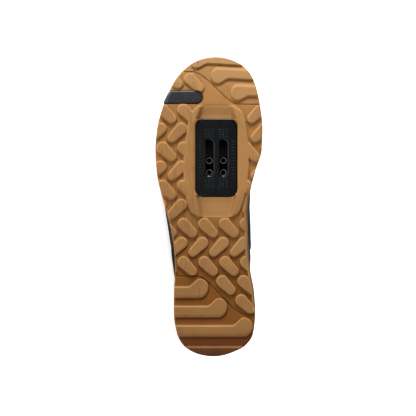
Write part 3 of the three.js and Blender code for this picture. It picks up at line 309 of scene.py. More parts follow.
# Wall around the cleat window from the middle of the plate, as shares of half its length and
# width: along, outer edge, inner edge
WINDOW_WALL = [
    (-1.515, -0.874, 0.754),
    (-1.43, -1.135, 1.068),
    (-1.21, -1.367, 1.227),
    (-0.925, -1.483, 1.362),
    (-0.589, -1.56, 1.493),
    (-0.149, -1.575, 1.56),
    (0.338, -1.522, 1.546),
    (0.653, -1.415, 1.454),
    (0.964, -1.329, 1.377),
    (1.184, -1.184, 1.251),
    (1.336, -0.874, 0.845),
]

# Lugs outside the regular rows: row, across as a share of the ball width, way that it turns
EXTRA_LUGS = [
    (8, 0.448, -1),
    (3.19, 0.406, -1),
    (-1, 0.084, 1),
    (-1, 0.283, 1),
    (-2, 0.264, 1),
    (9.65, -0.215, 1),
    (9.85, -0.411, 1),
]

# Heads of the heel rails as shares of the heel width, and the toe rails with neck and head in
# rail pitches from the toe, across as a share of the ball width, radius, open at the back
HEEL_HEADS = [-0.162, 0.07, 0.378]
TOE_RAILS = [
    (0.30, 0.35, -0.155, TOE_FIRST_HEAD_RADIUS, True),
    (1.109, 1.10, 0.045, TOE_HEAD_RADIUS, False),
    (2.02, 1.99, 0.233, TOE_HEAD_RADIUS, False),
]

# Grooves: across as a share of the width there, rail pitches away from the end
TOE_GROOVE = [
    (-0.6, 0.849), (-0.25, 0.813), (-0.189, 0.813), (-0.151, 0.88),
    (0.144, 2.286), (0.196, 2.484), (0.27, 2.53), (0.6, 2.578),
]
HEEL_GROOVE = [
    (-0.7, 4.193), (-0.24, 4.193), (-0.173, 4.17), (-0.111, 4.03),
    (0.316, 2.339), (0.383, 2.224), (0.44, 2.215), (0.8, 2.229),
]

# Curves and distances


def smooth_curve(xs, ys):
    """Smooth curve through a table that never overshoots its rows."""
    xs = np.asarray(xs, float)
    ys = np.asarray(ys, float)
    steps = np.diff(ys) / np.diff(xs)
    before, after = steps[:-1], steps[1:]
    same_way = before * after > 0
    mean = 2 * before * after / np.where(same_way, before + after, 1)
    slopes = np.concatenate([steps[:1], np.where(same_way, mean, 0), steps[-1:]])

    def curve(x):
        x = np.clip(x, xs[0], xs[-1])
        i = np.clip(np.searchsorted(xs, x, side="right") - 1, 0, len(xs) - 2)
        span = xs[i + 1] - xs[i]
        t = (x - xs[i]) / span
        rise = ys[i + 1] - ys[i]
        first = slopes[i] * span
        last = slopes[i + 1] * span
        return ys[i] + first * t + (3 * rise - 2 * first - last) * t**2 + (first + last - 2 * rise) * t**3

    return curve


def smoothstep(x, low, high):
    t = np.clip((x - low) / (high - low), 0, 1)
    return t * t * (3 - 2 * t)


def unit(vectors):
    length = np.linalg.norm(vectors, axis=-1, keepdims=True)
    return vectors / np.where(length > 0, length, 1)


def line_distance(points, line):
    """Distance of plan points from an open line."""
    nearest = np.full(len(points), np.inf)
    for a, b in zip(line[:-1], line[1:]):
        edge = b - a
        offset = points - a
        t = np.clip(offset @ edge / max(edge @ edge, 1e-12), 0, 1)
        gap = offset - t[:, None] * edge
        nearest = np.minimum(nearest, np.einsum("ij,ij->i", gap, gap))
    return np.sqrt(nearest)


def polygon_distance(points, outline):
    """Distance of plan points from a closed outline, positive inside it."""
    x, y = points.T
    inside = np.zeros(len(points), bool)
    for a, b in zip(outline, np.roll(outline, -1, axis=0)):
        if a[1] != b[1]:
            crosses = (a[1] > y) != (b[1] > y)
            inside ^= crosses & (x < a[0] + (y - a[1]) * (b[0] - a[0]) / (b[1] - a[1]))
    return np.where(inside, 1, -1) * line_distance(points, np.concatenate([outline, outline[:1]]))


def rounded_box_distance(points, centre, length, width, corner):
    """Distance outside a rounded rectangle, negative inside it."""
    reach = np.abs(points - np.asarray(centre)) - np.array([length / 2 - corner, width / 2 - corner])
    outside = np.linalg.norm(np.maximum(reach, 0), axis=1)
    return outside + np.minimum(reach.max(axis=1), 0) - corner


def arc(centre, radius, start, end, count):
    angle = np.linspace(start, end, count)
    return np.stack([centre[0] + radius * np.cos(angle), centre[1] + radius * np.sin(angle)], axis=1)


def line_length(points):
    """Length of a line of points from its start to each of them."""
    return np.concatenate([[0], np.cumsum(np.linalg.norm(np.diff(points, axis=0), axis=1))])


def rounded_path(corners, count):
    """Smooth line through corners, in plan or in space."""
    corners = np.asarray(corners, float)
    length = line_length(corners)
    at = np.linspace(0, length[-1], count)
    return np.column_stack([smooth_curve(length, column)(at) for column in corners.T])


def table_curves(table, scale=1):
    """Smooth curves of a table's columns over its first one."""
    first, *others = np.array(table, float).T
    return [smooth_curve(first * scale, column) for column in others]


# Sole surfaces

plan_share, plan_width, *plan_halves = np.array(OUTLINE, float).T
outer_half, inner_half = [
    smooth_curve(np.arccos(1 - 2 * plan_share), plan_width * half) for half in plan_halves]
ground, cup_floor, rim_height = table_curves(PROFILE, SOLE_LENGTH)


def base(s):
    return ground(s) + LUG_HEIGHT


def rim_top(s):
    return cup_floor(s) + rim_height(s)


def edge_at(turn):
    """Point of the sole's edge: turn runs from the heel over the inner side, toe, outer side."""
    turn = np.mod(turn, 2 * np.pi)
    angle = np.where(turn <= np.pi, turn, 2 * np.pi - turn)
    half = np.where(turn <= np.pi, inner_half(angle), -outer_half(angle))
    return np.stack([SOLE_LENGTH * (1 - np.cos(angle)) / 2, half], axis=-1)


def sole_ring(turn, inset):
    """Points of the sole's edge moved inwards, and the directions that point outwards there."""
    step = 0.01
    tangent = unit(edge_at(turn + step) - edge_at(turn - step))
    out = np.stack([-tangent[..., 1], tangent[..., 0]], axis=-1)
    return edge_at(turn) - out * inset, out


sole_edge = edge_at(np.linspace(0, 2 * np.pi, 360, endpoint=False))

# Meshes


def to_world(points):
    """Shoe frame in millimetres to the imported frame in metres, never below the floor."""
    points = np.asarray(points, float)
    world = ORIGIN + points[:, :1] * TOEWARDS + points[:, 1:2] * INWARDS + points[:, 2:] * UPWARDS
    world[:, 2] = np.maximum(world[:, 2], 0)
    return world / 1000


def make_piece(name, shape, material, slot, stands_for=None, fill=None, body="shoe", **values):
    """Piece from shoe-frame points and lists of faces of equal length, with values at its points.

    It stands for a node of the model where this is given; the fill is not used."""
    points, faces = shape
    mesh = bpy.data.meshes.new(name)
    mesh.vertices.add(len(points))
    mesh.vertices.foreach_set("co", to_world(points).astype(np.float32).ravel())
    faces = [np.asarray(part, np.int32) for part in faces if len(part)]
    sizes = np.concatenate([np.full(len(part), part.shape[1], np.int32) for part in faces])
    corners = np.concatenate([part.ravel() for part in faces])
    starts = np.concatenate([[0], np.cumsum(sizes)[:-1]]).astype(np.int32)
    mesh.loops.add(len(corners))
    mesh.loops.foreach_set("vertex_index", corners)
    mesh.polygons.add(len(sizes))
    mesh.polygons.foreach_set("loop_start", starts)
    mesh.polygons.foreach_set("use_smooth", np.ones(len(sizes), bool))
    for key, value in {"place": points, **values}.items():
        kind, field = ("FLOAT_VECTOR", "vector") if value.ndim == 2 else ("FLOAT", "value")
        attribute = mesh.attributes.new(key, kind, "POINT")
        attribute.data.foreach_set(field, value.astype(np.float32).ravel())
    mesh.update(calc_edges=True)
    mesh.validate()
    mesh.set_sharp_from_angle(angle=math.radians(SHARP_ANGLE))
    mesh.materials.append(material)
    piece = bpy.data.objects.new(name, mesh)
    bpy.context.scene.collection.objects.link(piece)
    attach(piece, body)
    if stands_for:
        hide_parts(stands_for)


def cell_corners(n, m, wrap, wrap_across=False):
    """Vertices at the corners of a grid's cells, which may close in a ring either way."""
    cells = np.arange(n if wrap else n - 1), np.arange(m if wrap_across else m - 1)
    i, k = np.meshgrid(*cells, indexing="ij")
    after, beside = (i + 1) % n, (k + 1) % m
    return np.stack([i * m + k, after * m + k, after * m + beside, i * m + beside], axis=-1)


def tube_faces(n, m):
    """Faces of a tube of n rings with m points each, and of its flat ends."""
    sides = cell_corners(n, m, False, True)[..., [0, 3, 2, 1]].reshape(-1, 4)
    return [sides, np.arange(m)[::-1][None], (np.arange(m) + (n - 1) * m)[None]]


def row_faces(before, after):
    """Faces between two closed rows of vertices."""
    return np.stack([np.roll(before, -1), before, after, np.roll(after, -1)], axis=1)


def boundary_loops(cells):
    """Closed loops of vertices around the cells, in the direction of their faces."""
    starts = cells.ravel().astype(np.int64)
    ends = np.roll(cells, -1, axis=1).ravel().astype(np.int64)
    size = int(cells.max()) + 1
    is_open = ~np.isin(starts * size + ends, ends * size + starts)
    follow = {}
    for a, b in zip(starts[is_open].tolist(), ends[is_open].tolist()):
        follow.setdefault(a, []).append(b)
    loops = []
    while follow:
        first = here = next(iter(follow))
        loop = []
        while not loop or here != first:
            loop.append(here)
            options = follow[here]
            after = options.pop()
            if not options:
                del follow[here]
            here = after
        loops.append(np.array(loop))
    return loops


def kept_cells(field, wrap):
    """Cells of a grid whose middle has a positive field, and the vertices on the cut's edge."""
    corners = cell_corners(*field.shape, wrap)
    keep = field.ravel()[corners].mean(axis=-1) > 0
    touched = np.zeros((2, field.size), bool)
    touched[0, corners[keep].ravel()] = True
    touched[1, corners[~keep].ravel()] = True
    return corners[keep], touched.all(axis=0)


def sample(grid, i, k, wrap):
    """Values of a grid at places between its vertices."""
    n, m = grid.shape[:2]
    i = np.mod(i, n) if wrap else np.clip(i, 0, n - 1)
    k = np.clip(k, 0, m - 1)
    i0 = np.floor(i).astype(int)
    k0 = np.minimum(np.floor(k).astype(int), m - 2)
    if not wrap:
        i0 = np.minimum(i0, n - 2)
    i1 = (i0 + 1) % n
    a = i - i0
    b = k - k0
    if grid.ndim == 3:
        a = a[:, None]
        b = b[:, None]
    low = grid[i0, k0] * (1 - b) + grid[i0, k0 + 1] * b
    high = grid[i1, k0] * (1 - b) + grid[i1, k0 + 1] * b
    return low * (1 - a) + high * a


def grid_slopes(field, wrap):
    """Change of a grid's values from vertex to vertex, both ways."""
    if wrap:
        along = (np.roll(field, -1, axis=0) - np.roll(field, 1, axis=0)) / 2
    else:
        along = np.gradient(field, axis=0)
    return along, np.gradient(field, axis=1)


def grid_normals(points, wrap):
    along, across = grid_slopes(points, wrap)
    return unit(np.cross(across, along))


def patch(grid, normals, field, outer, inner, wrap=False, soft=1.0, lip=0.35, values=None):
    """Closed shell between two offsets of a grid surface, where the field is positive.

    The cut edge lies on the field's zero line. From soft millimetres inside it the outer face
    rolls down to the share lip of the thickness. Values on the grid are returned at the points."""
    outer = np.broadcast_to(outer, field.shape)
    inner = np.broadcast_to(inner, field.shape)
    cells, on_cut = kept_cells(field, wrap)
    i, k = (part.ravel().astype(float) for part in np.indices(field.shape))
    slope_i, slope_k = (part.ravel() for part in grid_slopes(field, wrap))
    steep = np.maximum(slope_i**2 + slope_k**2, 1e-6)
    for _ in range(2):
        value = sample(field, i, k, wrap)
        i = np.where(on_cut, i - np.clip(value * slope_i / steep, -0.7, 0.7), i)
        k = np.where(on_cut, k - np.clip(value * slope_k / steep, -0.7, 0.7), k)
    used, order = np.unique(cells, return_inverse=True)
    cells = order.reshape(cells.shape)
    i, k, on_cut = i[used], k[used], on_cut[used]
    points = sample(grid, i, k, wrap)
    turned = unit(sample(normals, i, k, wrap))
    distance = np.where(on_cut, 0, np.maximum(sample(field, i, k, wrap), 0))
    roll = lip + (1 - lip) * np.sqrt(1 - (1 - np.clip(distance / soft, 0, 1)) ** 2)
    low = sample(inner, i, k, wrap)
    high = low + (sample(outer, i, k, wrap) - low) * roll
    top = points + turned * high[:, None]
    bottom = points + turned * low[:, None]
    count = len(used)
    faces = [cells, cells[:, ::-1] + count]
    faces += [row_faces(loop, loop + count) for loop in boundary_loops(cells)]
    a, b, c = (top[cells[:, corner]] for corner in range(3))
    if np.einsum("ij,ij->i", np.cross(b - a, c - a), turned[cells[:, 0]]).sum() <= 0:
        faces = [part[:, ::-1] for part in faces]
    shell = np.concatenate([top, bottom]), faces
    if values is None:
        return shell
    own = sample(values, i, k, wrap)
    return *shell, np.concatenate([own, own])


def joined(parts):
    """One set of points and faces from several."""
    points, faces, count = [], [], 0
    for part_points, part_faces in parts:
        points.append(part_points)
        faces += [np.asarray(part) + count for part in part_faces]
        count += len(part_points)
    return np.concatenate(points), faces


def tube(path, ups, section):
    """Closed tube of a section (across, up) along a path, with flat ends."""
    tangent = unit(np.gradient(path, axis=0))
    across = unit(np.cross(tangent, ups))
    up = np.cross(across, tangent)
    ring = path[:, None] + across[:, None] * section[:, 0, None] + up[:, None] * section[:, 1, None]
    return ring.reshape(-1, 3), tube_faces(len(path), len(section))


# Tread


def lug_distance(points, big, turn):
    """Distance inside a lug, which has a big and a small round end."""
    length = LUG_REACH * math.sqrt(2)
    axis = np.array([-1, turn]) / math.sqrt(2)
    offset = points - big
    along = offset @ axis
    across = np.abs(offset @ np.array([-axis[1], axis[0]]))
    lean = (LUG_BIG_RADIUS - LUG_SMALL_RADIUS) / length
    rise = math.sqrt(1 - lean**2)
    split = rise * along - lean * across
    side = rise * across + lean * along - LUG_BIG_RADIUS
    big_end = np.hypot(along, across) - LUG_BIG_RADIUS
    small_end = np.hypot(along - length, across) - LUG_SMALL_RADIUS
    return -np.where(split < 0, big_end, np.where(split > rise * length, small_end, side))


def row_along(row):
    """Place along the foot of a row of lugs."""
    return LUG_FIRST_ROW + row * LUG_PITCH_ALONG


def lug_places():
    """Where each lug's big end stands, along and across, and the way that the lug turns."""
    places = [(row_along(row), share * BALL_WIDTH, turn) for row, share, turn in EXTRA_LUGS]
    for row in range(LUG_ROWS):
        turn = 1 if row % 2 == 0 else -1
        along = row_along(row)
        first = BALL_WIDTH * LUG_ROW_STARTS[turn]
        for k in range(6):
            across = first + k * LUG_PITCH_ACROSS
            from_window = abs(across - PLATE_CENTRE[1]) - PLATE_WIDTH / 2
            behind_window = along < PLATE_CENTRE[0] - PLATE_LENGTH * 0.68
            beside_window = from_window > LUG_REACH * 0.8 and (row < LUG_ROWS - 1 or across < 0)
            if abs(across) < BALL_WIDTH * 0.49 if behind_window else beside_window:
                places.append((along, across, turn))
    return places


def window_outline():
    """Closed outline of the wall around the cleat window."""
    along = np.linspace(WINDOW_WALL[0][0], WINDOW_WALL[-1][0], 34)
    half = np.array([PLATE_LENGTH, PLATE_WIDTH]) / 2
    outer, inner = [
        PLATE_CENTRE + np.column_stack([along, side(along)]) * half for side in table_curves(WINDOW_WALL)]
    return np.concatenate([inner, outer[::-1]])


def rail_outline(radius, back, neck, slope):
    """Rail with its head's centre as origin: v towards the neck, u out through the head."""
    length = 2 * BALL_WIDTH
    angle = np.linspace(0, np.pi / 2, 14)
    head = [(radius * math.sin(a), radius * math.cos(a)) for a in angle]
    if -back > 2 * radius:
        shoulder = [(back, radius)]
    else:
        shoulder = [(-abs(back) * math.cos(a), radius * math.sin(a)) for a in angle[:-1]]
    bend = neck - slope * RAIL_NECK_LENGTH
    fall = np.linspace(0, 1, 12)[1:]
    neck_curve = [
        (radius + (bend - radius) * (1 - math.cos(math.pi * t)) / 2, -RAIL_NECK_LENGTH * t) for t in fall
    ]
    ends = [(side - slope * length, -length) for side in (back, neck)]
    return np.array([ends[0], *shoulder, *head, *neck_curve, ends[1]])


def rails():
    """Pairs of outlines, at the root and at the tread face, for every rail with a head."""
    rows = []
    for i, share in enumerate(HEEL_HEADS):
        neck = HEEL_FIRST_NECK - i * RAIL_PITCH
        rows.append((share * HEEL_WIDTH, neck + HEEL_HEAD_SHIFT, neck, HEEL_HEAD_RADIUS, 1, 0, False))
    for neck, head, across, radius, opened in TOE_RAILS:
        places = [SOLE_LENGTH - part * RAIL_PITCH for part in (head, neck)]
        rows.append((across * BALL_WIDTH, *places, radius, -1, TOE_RAIL_SLOPE, opened))
    pairs = []
    for across, along, neck, radius, way, slope, opened in rows:
        flat_neck = way * (neck - along)
        flat_back = -RAIL_PITCH if opened else flat_neck - RAIL_FLAT
        root_back = flat_back if opened else flat_back - RAIL_BACK_BEVEL
        top = rail_outline(radius - RAIL_HEAD_BEVEL, flat_back, flat_neck, slope)
        neck_bevel = RAIL_NECK_BEVEL if way > 0 else TOE_NECK_BEVEL
        root = rail_outline(radius, root_back, flat_neck + neck_bevel, slope)
        centre = np.array([along, across])
        pairs.append((centre + way * root, centre + way * top))
    return pairs


lug_rows = lug_places()
window_wall = window_outline()
rail_pairs = rails()
toe_groove = rounded_path(
    [(SOLE_LENGTH - away * RAIL_PITCH, across * BALL_WIDTH) for across, away in TOE_GROOVE], 60)
heel_groove = rounded_path([(away * RAIL_PITCH, across * HEEL_WIDTH) for across, away in HEEL_GROOVE], 60)


def near(points, low, high, margin):
    """Which plan points lie in a box or within a margin of it."""
    return np.all((points > np.asarray(low) - margin) & (points < np.asarray(high) + margin), axis=1)


def tread_fields(points):
    """Distances inside lugs and window wall, inside the rails' roots and faces, and their ramp."""
    lugs = np.full(len(points), OUTSIDE)
    for along, across, turn in lug_rows:
        reach = LUG_REACH + LUG_BIG_RADIUS
        close = near(points, (along, across), (along, across), reach + 3)
        inside = lug_distance(points[close], np.array([along, across]), turn)
        lugs[close] = np.maximum(lugs[close], inside)
    close = near(points, window_wall.min(axis=0), window_wall.max(axis=0), 3)
    lugs[close] = np.maximum(lugs[close], polygon_distance(points[close], window_wall))
    roots = HEEL_LAST_FLAT + RAIL_NECK_BEVEL - points[:, 0]
    tops = HEEL_LAST_FLAT - points[:, 0]
    ramp = np.clip(roots / RAIL_NECK_BEVEL, 0, 1)
    for root, top in rail_pairs:
        close = near(points, root.min(axis=0), root.max(axis=0), 3)
        root_in = polygon_distance(points[close], root)
        top_in = polygon_distance(points[close], top)
        slope = np.clip(root_in / np.maximum(root_in - top_in, 1e-6), 0, 1)
        ramp[close] = np.maximum(ramp[close], np.where(top_in > 0, 1, np.where(root_in > 0, slope, 0)))
        roots[close] = np.maximum(roots[close], root_in)
        tops[close] = np.maximum(tops[close], top_in)
    return lugs, roots, tops, ramp


def plate_distance(points):
    """Distance outside the plate's outline, negative inside it."""
    return rounded_box_distance(points, PLATE_CENTRE, PLATE_LENGTH, PLATE_WIDTH, PLATE_CORNER)


def ramp_floor(points, near_end, far_end):
    """Height of the sloping floor before or behind the plate, with its slanted sides."""
    share = (points[:, 0] - near_end) / (far_end - near_end)
    end = base(far_end)
    slope = np.clip((share - RAMP_FLAT_SHARE) / (1 - RAMP_FLAT_SHARE), 0, 1)
    floor = PLATE_DEPTH + (end - PLATE_DEPTH) * slope
    half = PLATE_WIDTH / 2 - GAP - RAMP_NARROWING * np.clip(share, 0, 1) ** 0.8
    beside = np.abs(points[:, 1] - PLATE_CENTRE[1]) - half
    side = floor * (1 - smoothstep(beside, -RAMP_SIDE, 0.9))
    return np.where((share > -0.05) & (share < 1.06), side, OUTSIDE)


def tag_distance(points):
    """Distance inside the tag's outline seen from under the sole."""
    past_middle = np.maximum(points[:, 1] - (TAG_INNER_END - TAG_WIDTH / 2), 0)
    return TAG_WIDTH / 2 - np.hypot(points[:, 0] - TAG_CENTRE, past_middle)


def tread_height(points, edge_distance):
    """Height of the tread's surface, and how far it stands out of the sole's base, 0 to 1; the inner waist
    band gets 0.85 so that it takes the lugs' painted rim highlight.
    """
    s = points[:, 0]
    root = base(s)
    low = root + EDGE_BEVEL_RISE * np.clip(1 - edge_distance / EDGE_BEVEL, 0, 1)
    lugs, _, _, ramp = tread_fields(points)
    raised = np.maximum(np.interp(lugs, *np.array(LUG_SIDE).T), 0.4 * ramp + 0.6 * smoothstep(ramp, 0, 1))
    # Plain band along the inner edge of the waist, level with the lugs' flanks
    waist = smoothstep(s, *WAIST_REAR) * (1 - smoothstep(s, *WAIST_FRONT)) * (points[:, 1] > 0)
    band = waist * (1 - smoothstep(edge_distance, WAIST_BAND - 0.5, WAIST_BAND + 0.3))
    raised = raised * (1 - band)
    low += waist * EDGE_BEVEL_RISE * 0.6 * np.clip(1 - edge_distance / WAIST_BAND, 0, 1)
    height = low * (1 - raised) + ground(s) * raised
    height += HEEL_END_ROLL * np.clip(1 - s / HEEL_END_LENGTH, 0, 1) ** 1.5
    height += 0.7 * np.clip(1 - (edge_distance - TREAD_INSET) / EDGE_ROLL, 0, 1) ** 2 * raised
    for groove in (toe_groove, heel_groove):
        across = line_distance(points, groove) / (GROOVE_WIDTH * 0.55)
        depth = root + GROOVE_DEPTH * (1 - across**2)
        height = np.maximum(height, np.minimum(depth, root + GROOVE_DEPTH))
    from_plate = np.maximum(plate_distance(points), 0)
    height = np.maximum(height, WINDOW_BEVEL_DEPTH * (1 - from_plate / WINDOW_BEVEL))
    front, rear = PLATE_CENTRE[0] + PLATE_LENGTH / 2, PLATE_CENTRE[0] - PLATE_LENGTH / 2
    height = np.maximum(height, ramp_floor(points, front, front + RAMP_FRONT))
    height = np.maximum(height, ramp_floor(points, rear, rear - RAMP_REAR))
    under_tag = smoothstep(tag_distance(points), -GAP * 2, 0)
    facet = EDGE_BEVEL_RISE * np.clip(1 - edge_distance / TAG_BEVEL, 0, 1)
    sunk = root + facet + TAG_THICKNESS - TAG_PROUD + GAP
    height = height * (1 - under_tag) + np.maximum(height, sunk) * under_tag
    # The inner waist band takes the lighter colour of the lugs' rims, a painted highlight
    return height, np.maximum(raised, 0.85 * band)


def uphill(field, shape):
    """Directions in which a field on the tread's grid grows."""
    slope = np.gradient(field.reshape(shape), TREAD_CELL)
    return unit(np.stack([part.ravel() for part in slope], axis=1))


def snapped(points, shape, field, levels):
    """Moves grid points onto a field's level lines where these pass within half a cell."""
    slope = uphill(field, shape)
    for level in levels:
        off = level - field
        close = np.abs(off) < TREAD_CELL * 0.5
        points = np.where(close[:, None], points + 0.85 * off[:, None] * slope, points)
    return points


def wall_rows(s):
    """Insets and heights of the sole's side from the tread's edge over the rim to the cup floor."""
    step = base(s) + STEP_HEIGHT
    rim = rim_top(s)
    floor = cup_floor(s)
    ridge = STEP_DEPTH + 0.5
    return [
        (TREAD_INSET * 0.9, base(s) + 1.8),
        (0.14, base(s) + 2.3),
        (0, base(s) + 3.0),
        (0, base(s) + 5.0),
        (0, step - 1.0),
        (0.06, step - 0.35),
        (0.35, step),
        (STEP_DEPTH - 0.1, step + 0.25),
        (STEP_DEPTH, step + 0.8),
        (STEP_DEPTH + 0.15, (step + rim) / 2),
        (ridge, rim - 1.1),
        (ridge + 0.15, rim - 0.5),
        (ridge + 0.45, rim - 0.12),
        (ridge + 0.8, rim),
        (CUP_WALL - 0.3, rim),
        (CUP_WALL, rim - 0.3),
        (CUP_WALL, (rim + floor) / 2),
        (CUP_WALL, floor),
    ]


def cup_floor_mesh(outer, inner):
    """Triangles of the cup's floor between two loops, and its points, counted after theirs."""
    spread = 7.0
    s, w = np.meshgrid(np.arange(8, SOLE_LENGTH, spread), np.arange(-60, 60, spread), indexing="ij")
    middle = np.column_stack([s.ravel(), w.ravel()])
    clear = (polygon_distance(middle, outer) > 2) & (polygon_distance(middle, inner) < -2)
    plan = np.concatenate([outer, inner, middle[clear]])
    _, _, triangles, originals, _, _ = geometry.delaunay_2d_cdt(
        [tuple(point) for point in plan], [], [], 0, 1e-6)
    back = np.array([group[0] for group in originals])
    triangles = back[np.array(triangles)]
    centres = plan[triangles].mean(axis=1)
    triangles = triangles[(polygon_distance(centres, outer) > 0) & (polygon_distance(centres, inner) < 0)]
    a, b, c = (plan[triangles[:, corner]] for corner in range(3))
    turned = (b - a)[:, 0] * (c - a)[:, 1] - (b - a)[:, 1] * (c - a)[:, 0] < 0
    triangles[turned] = triangles[turned][:, ::-1]
    return middle[clear], triangles


def sole_mesh():
    """Points and faces of the sole, and how far its points stand out of the tread's base."""
    s_line = np.arange(-TREAD_CELL, SOLE_LENGTH + TREAD_CELL, TREAD_CELL)
    w_line = np.arange(-59, 51, TREAD_CELL)
    shape = (len(s_line), len(w_line))
    points = np.stack(np.meshgrid(s_line, w_line, indexing="ij"), axis=-1).reshape(-1, 2)

    def cut_field(places):
        edge = polygon_distance(places, sole_edge) - TREAD_INSET
        return np.minimum(edge, plate_distance(places) - GAP)

    cut = cut_field(points)
    cells, on_cut = kept_cells(cut.reshape(shape), False)
    lugs, roots, tops, _ = tread_fields(points)
    # Grid lines follow the foot and shoulder of the lugs' flanks, and the rails' edges
    moved = snapped(points, shape, lugs, (0.15, 0.8))
    moved = snapped(moved, shape, roots, (0,))
    moved = snapped(moved, shape, tops, (0,))
    slope = uphill(cut, shape)
    points = np.where(on_cut[:, None], points - cut[:, None] * slope, moved)
    used, order = np.unique(cells, return_inverse=True)
    cells = order.reshape(cells.shape)
    points, on_cut, slope = points[used], on_cut[used], slope[used]
    points[on_cut] -= cut_field(points[on_cut])[:, None] * slope[on_cut]
    height, relief = tread_height(points, polygon_distance(points, sole_edge))
    vertices = np.column_stack([points, height])
    faces = [cells]

    def add_rows(previous, rows):
        """Adds closed rows of points, each joined to the one before, and returns the last."""
        nonlocal vertices
        for plan, row_height in rows:
            current = len(vertices) + np.arange(len(plan))
            vertices = np.concatenate([vertices, np.column_stack([plan, row_height])])
            faces.append(row_faces(previous, current))
            previous = current
        return previous

    outer, window = sorted(boundary_loops(cells), key=len, reverse=True)[:2]
    turns = np.linspace(0, 2 * np.pi, 6000, endpoint=False)
    edge = edge_at(turns)
    turn = turns[[int(np.argmin(((edge - point) ** 2).sum(axis=1))) for point in points[outer]]]
    along = edge_at(turn)[:, 0]
    at_tag = (np.abs(along - TAG_CENTRE) < TAG_WIDTH / 2 + GAP) & (turn > np.pi)
    rows = []
    for inset, row_height in wall_rows(along):
        below_tag_top = row_height < base(along) + TAG_RISE + GAP
        recess = np.where(at_tag & below_tag_top, TAG_THICKNESS - TAG_PROUD + GAP, 0)
        rows.append((sole_ring(turn, (inset + recess)[:, None])[0], row_height))
    rim_loop = add_rows(outer, rows)

    seat = np.full(len(window), PLATE_DEPTH + PLATE_SKIN - 2 * GAP)
    wider = 1 + 2 * PLATE_FLANGE / np.array([PLATE_LENGTH, PLATE_WIDTH])
    grown = PLATE_CENTRE + (points[window] - PLATE_CENTRE) * wider
    window_loop = add_rows(window, [
        (points[window], np.maximum(height[window] + 0.3, PLATE_DEPTH)),
        (points[window], seat),
        (grown, seat),
        (grown, cup_floor(grown[:, 0])),
    ])
    middle, triangles = cup_floor_mesh(vertices[rim_loop, :2], vertices[window_loop, :2])
    lookup = np.concatenate([rim_loop, window_loop, len(vertices) + np.arange(len(middle))])
    vertices = np.concatenate([vertices, np.column_stack([middle, cup_floor(middle[:, 0])])])
    faces = [part[:, ::-1] for part in faces] + [lookup[triangles]]
    relief = np.concatenate([relief, np.full(len(vertices) - len(relief), 0.6)])
    return vertices, faces, relief


# Cleat plate, nuts and tag


def flat_grid(low, high, cell, height, way):
    """Level grid at a height, its normals pointing up or down, and the plan points in a list."""
    s = np.arange(low[0] - cell, high[0] + 2 * cell, cell)
    w = np.arange(low[1] - cell, high[1] + 2 * cell, cell)
    s, w = np.meshgrid(s, w, indexing="ij")
    grid = np.stack([s, w, np.full_like(s, height)], axis=-1)
    return grid, np.zeros_like(grid) + (0, 0, way), grid[..., :2].reshape(-1, 2)


def slot_distance(plan, across):
    """Distance outside a slot with round ends."""
    half = (SLOT_LENGTH - SLOT_WIDTH) / 2
    along = np.maximum(np.abs(plan[:, 0] - PLATE_CENTRE[0]) - half, 0)
    return np.hypot(along, plan[:, 1] - across) - SLOT_WIDTH / 2


def plate_scale():
    """Thin raised bars that help to set the cleat: centre, half length along, half width across."""
    bars = []
    for across in SLOTS_ACROSS:
        for way in (-1, 1):
            start = PLATE_CENTRE[0] + way * (SLOT_LENGTH / 2 + SCALE_GAP)
            bars.append((start + way * SCALE_BAR_HALF, across, SCALE_BAR_HALF, BAR_HALF))
            for tick in range(SCALE_TICKS):
                along = start + way * SCALE_PITCH * (tick + 0.4)
                for beside in (across - SCALE_BESIDE, across + SCALE_BESIDE):
                    bars.append((along, beside, BAR_HALF, SCALE_REACH))
    for way in (-1, 1):
        for tick in range(SIDE_TICKS):
            reach = SIDE_REACHES[tick % 2]
            across = PLATE_CENTRE[1] + way * (PLATE_WIDTH / 2 - SIDE_MARGIN - reach)
            bars.append((PLATE_CENTRE[0] + SIDE_START - SIDE_PITCH * tick, across, BAR_HALF, reach))
    return bars


def bars_mesh(bars, low, high):
    """Small upright boxes."""
    shape = np.array([(-1, -1), (1, -1), (1, 1), (-1, 1)])
    sides = [(i, (i + 1) % 4, (i + 1) % 4 + 4, i + 4) for i in range(4)]
    faces = [np.array([(3, 2, 1, 0), (4, 5, 6, 7), *sides])]
    parts = []
    for along, across, half_along, half_across in bars:
        ring = np.array([along, across]) + shape * np.array([half_along, half_across])
        parts.append((np.column_stack([np.tile(ring, (2, 1)), np.repeat([low, high], 4)]), faces))
    return joined(parts)


def plate_mesh():
    """Plate with its slots, and the flange round it inside the sole."""
    reach = np.array([PLATE_LENGTH, PLATE_WIDTH]) / 2
    grid, normals, plan = flat_grid(PLATE_CENTRE - reach, PLATE_CENTRE + reach, PATCH_CELL, PLATE_DEPTH, -1)
    slots = [slot_distance(plan, across) for across in SLOTS_ACROSS]
    field = np.min([-plate_distance(plan), *slots], axis=0)
    face = patch(grid, normals, field.reshape(grid.shape[:2]), 0, -PLATE_SKIN, soft=0.6, lip=0.85)
    reach = reach + PLATE_FLANGE
    grid, normals, plan = flat_grid(PLATE_CENTRE - reach, PLATE_CENTRE + reach, 1.5, BALL_STACK, -1)
    outside = plate_distance(plan)
    field = np.minimum(PLATE_FLANGE - outside, outside + PLATE_FLANGE).reshape(grid.shape[:2])
    skin = BALL_STACK - (PLATE_DEPTH + PLATE_SKIN - GAP)
    return joined([face, patch(grid, normals, field, skin, 0, soft=0.2, lip=0.98)])


def lathe(centre, profile, steps):
    """Closed ring body from a loop of (radius, height) around an upright axis."""
    radius, height = np.array(profile, float).T
    angle = np.linspace(0, 2 * np.pi, steps, endpoint=False)[:, None]
    across = centre[0] + np.cos(angle) * radius, centre[1] + np.sin(angle) * radius
    ring = np.stack([*across, np.broadcast_to(height, across[0].shape)], axis=-1)
    return ring.reshape(-1, 3), [cell_corners(steps, len(profile), True, True).reshape(-1, 4)]


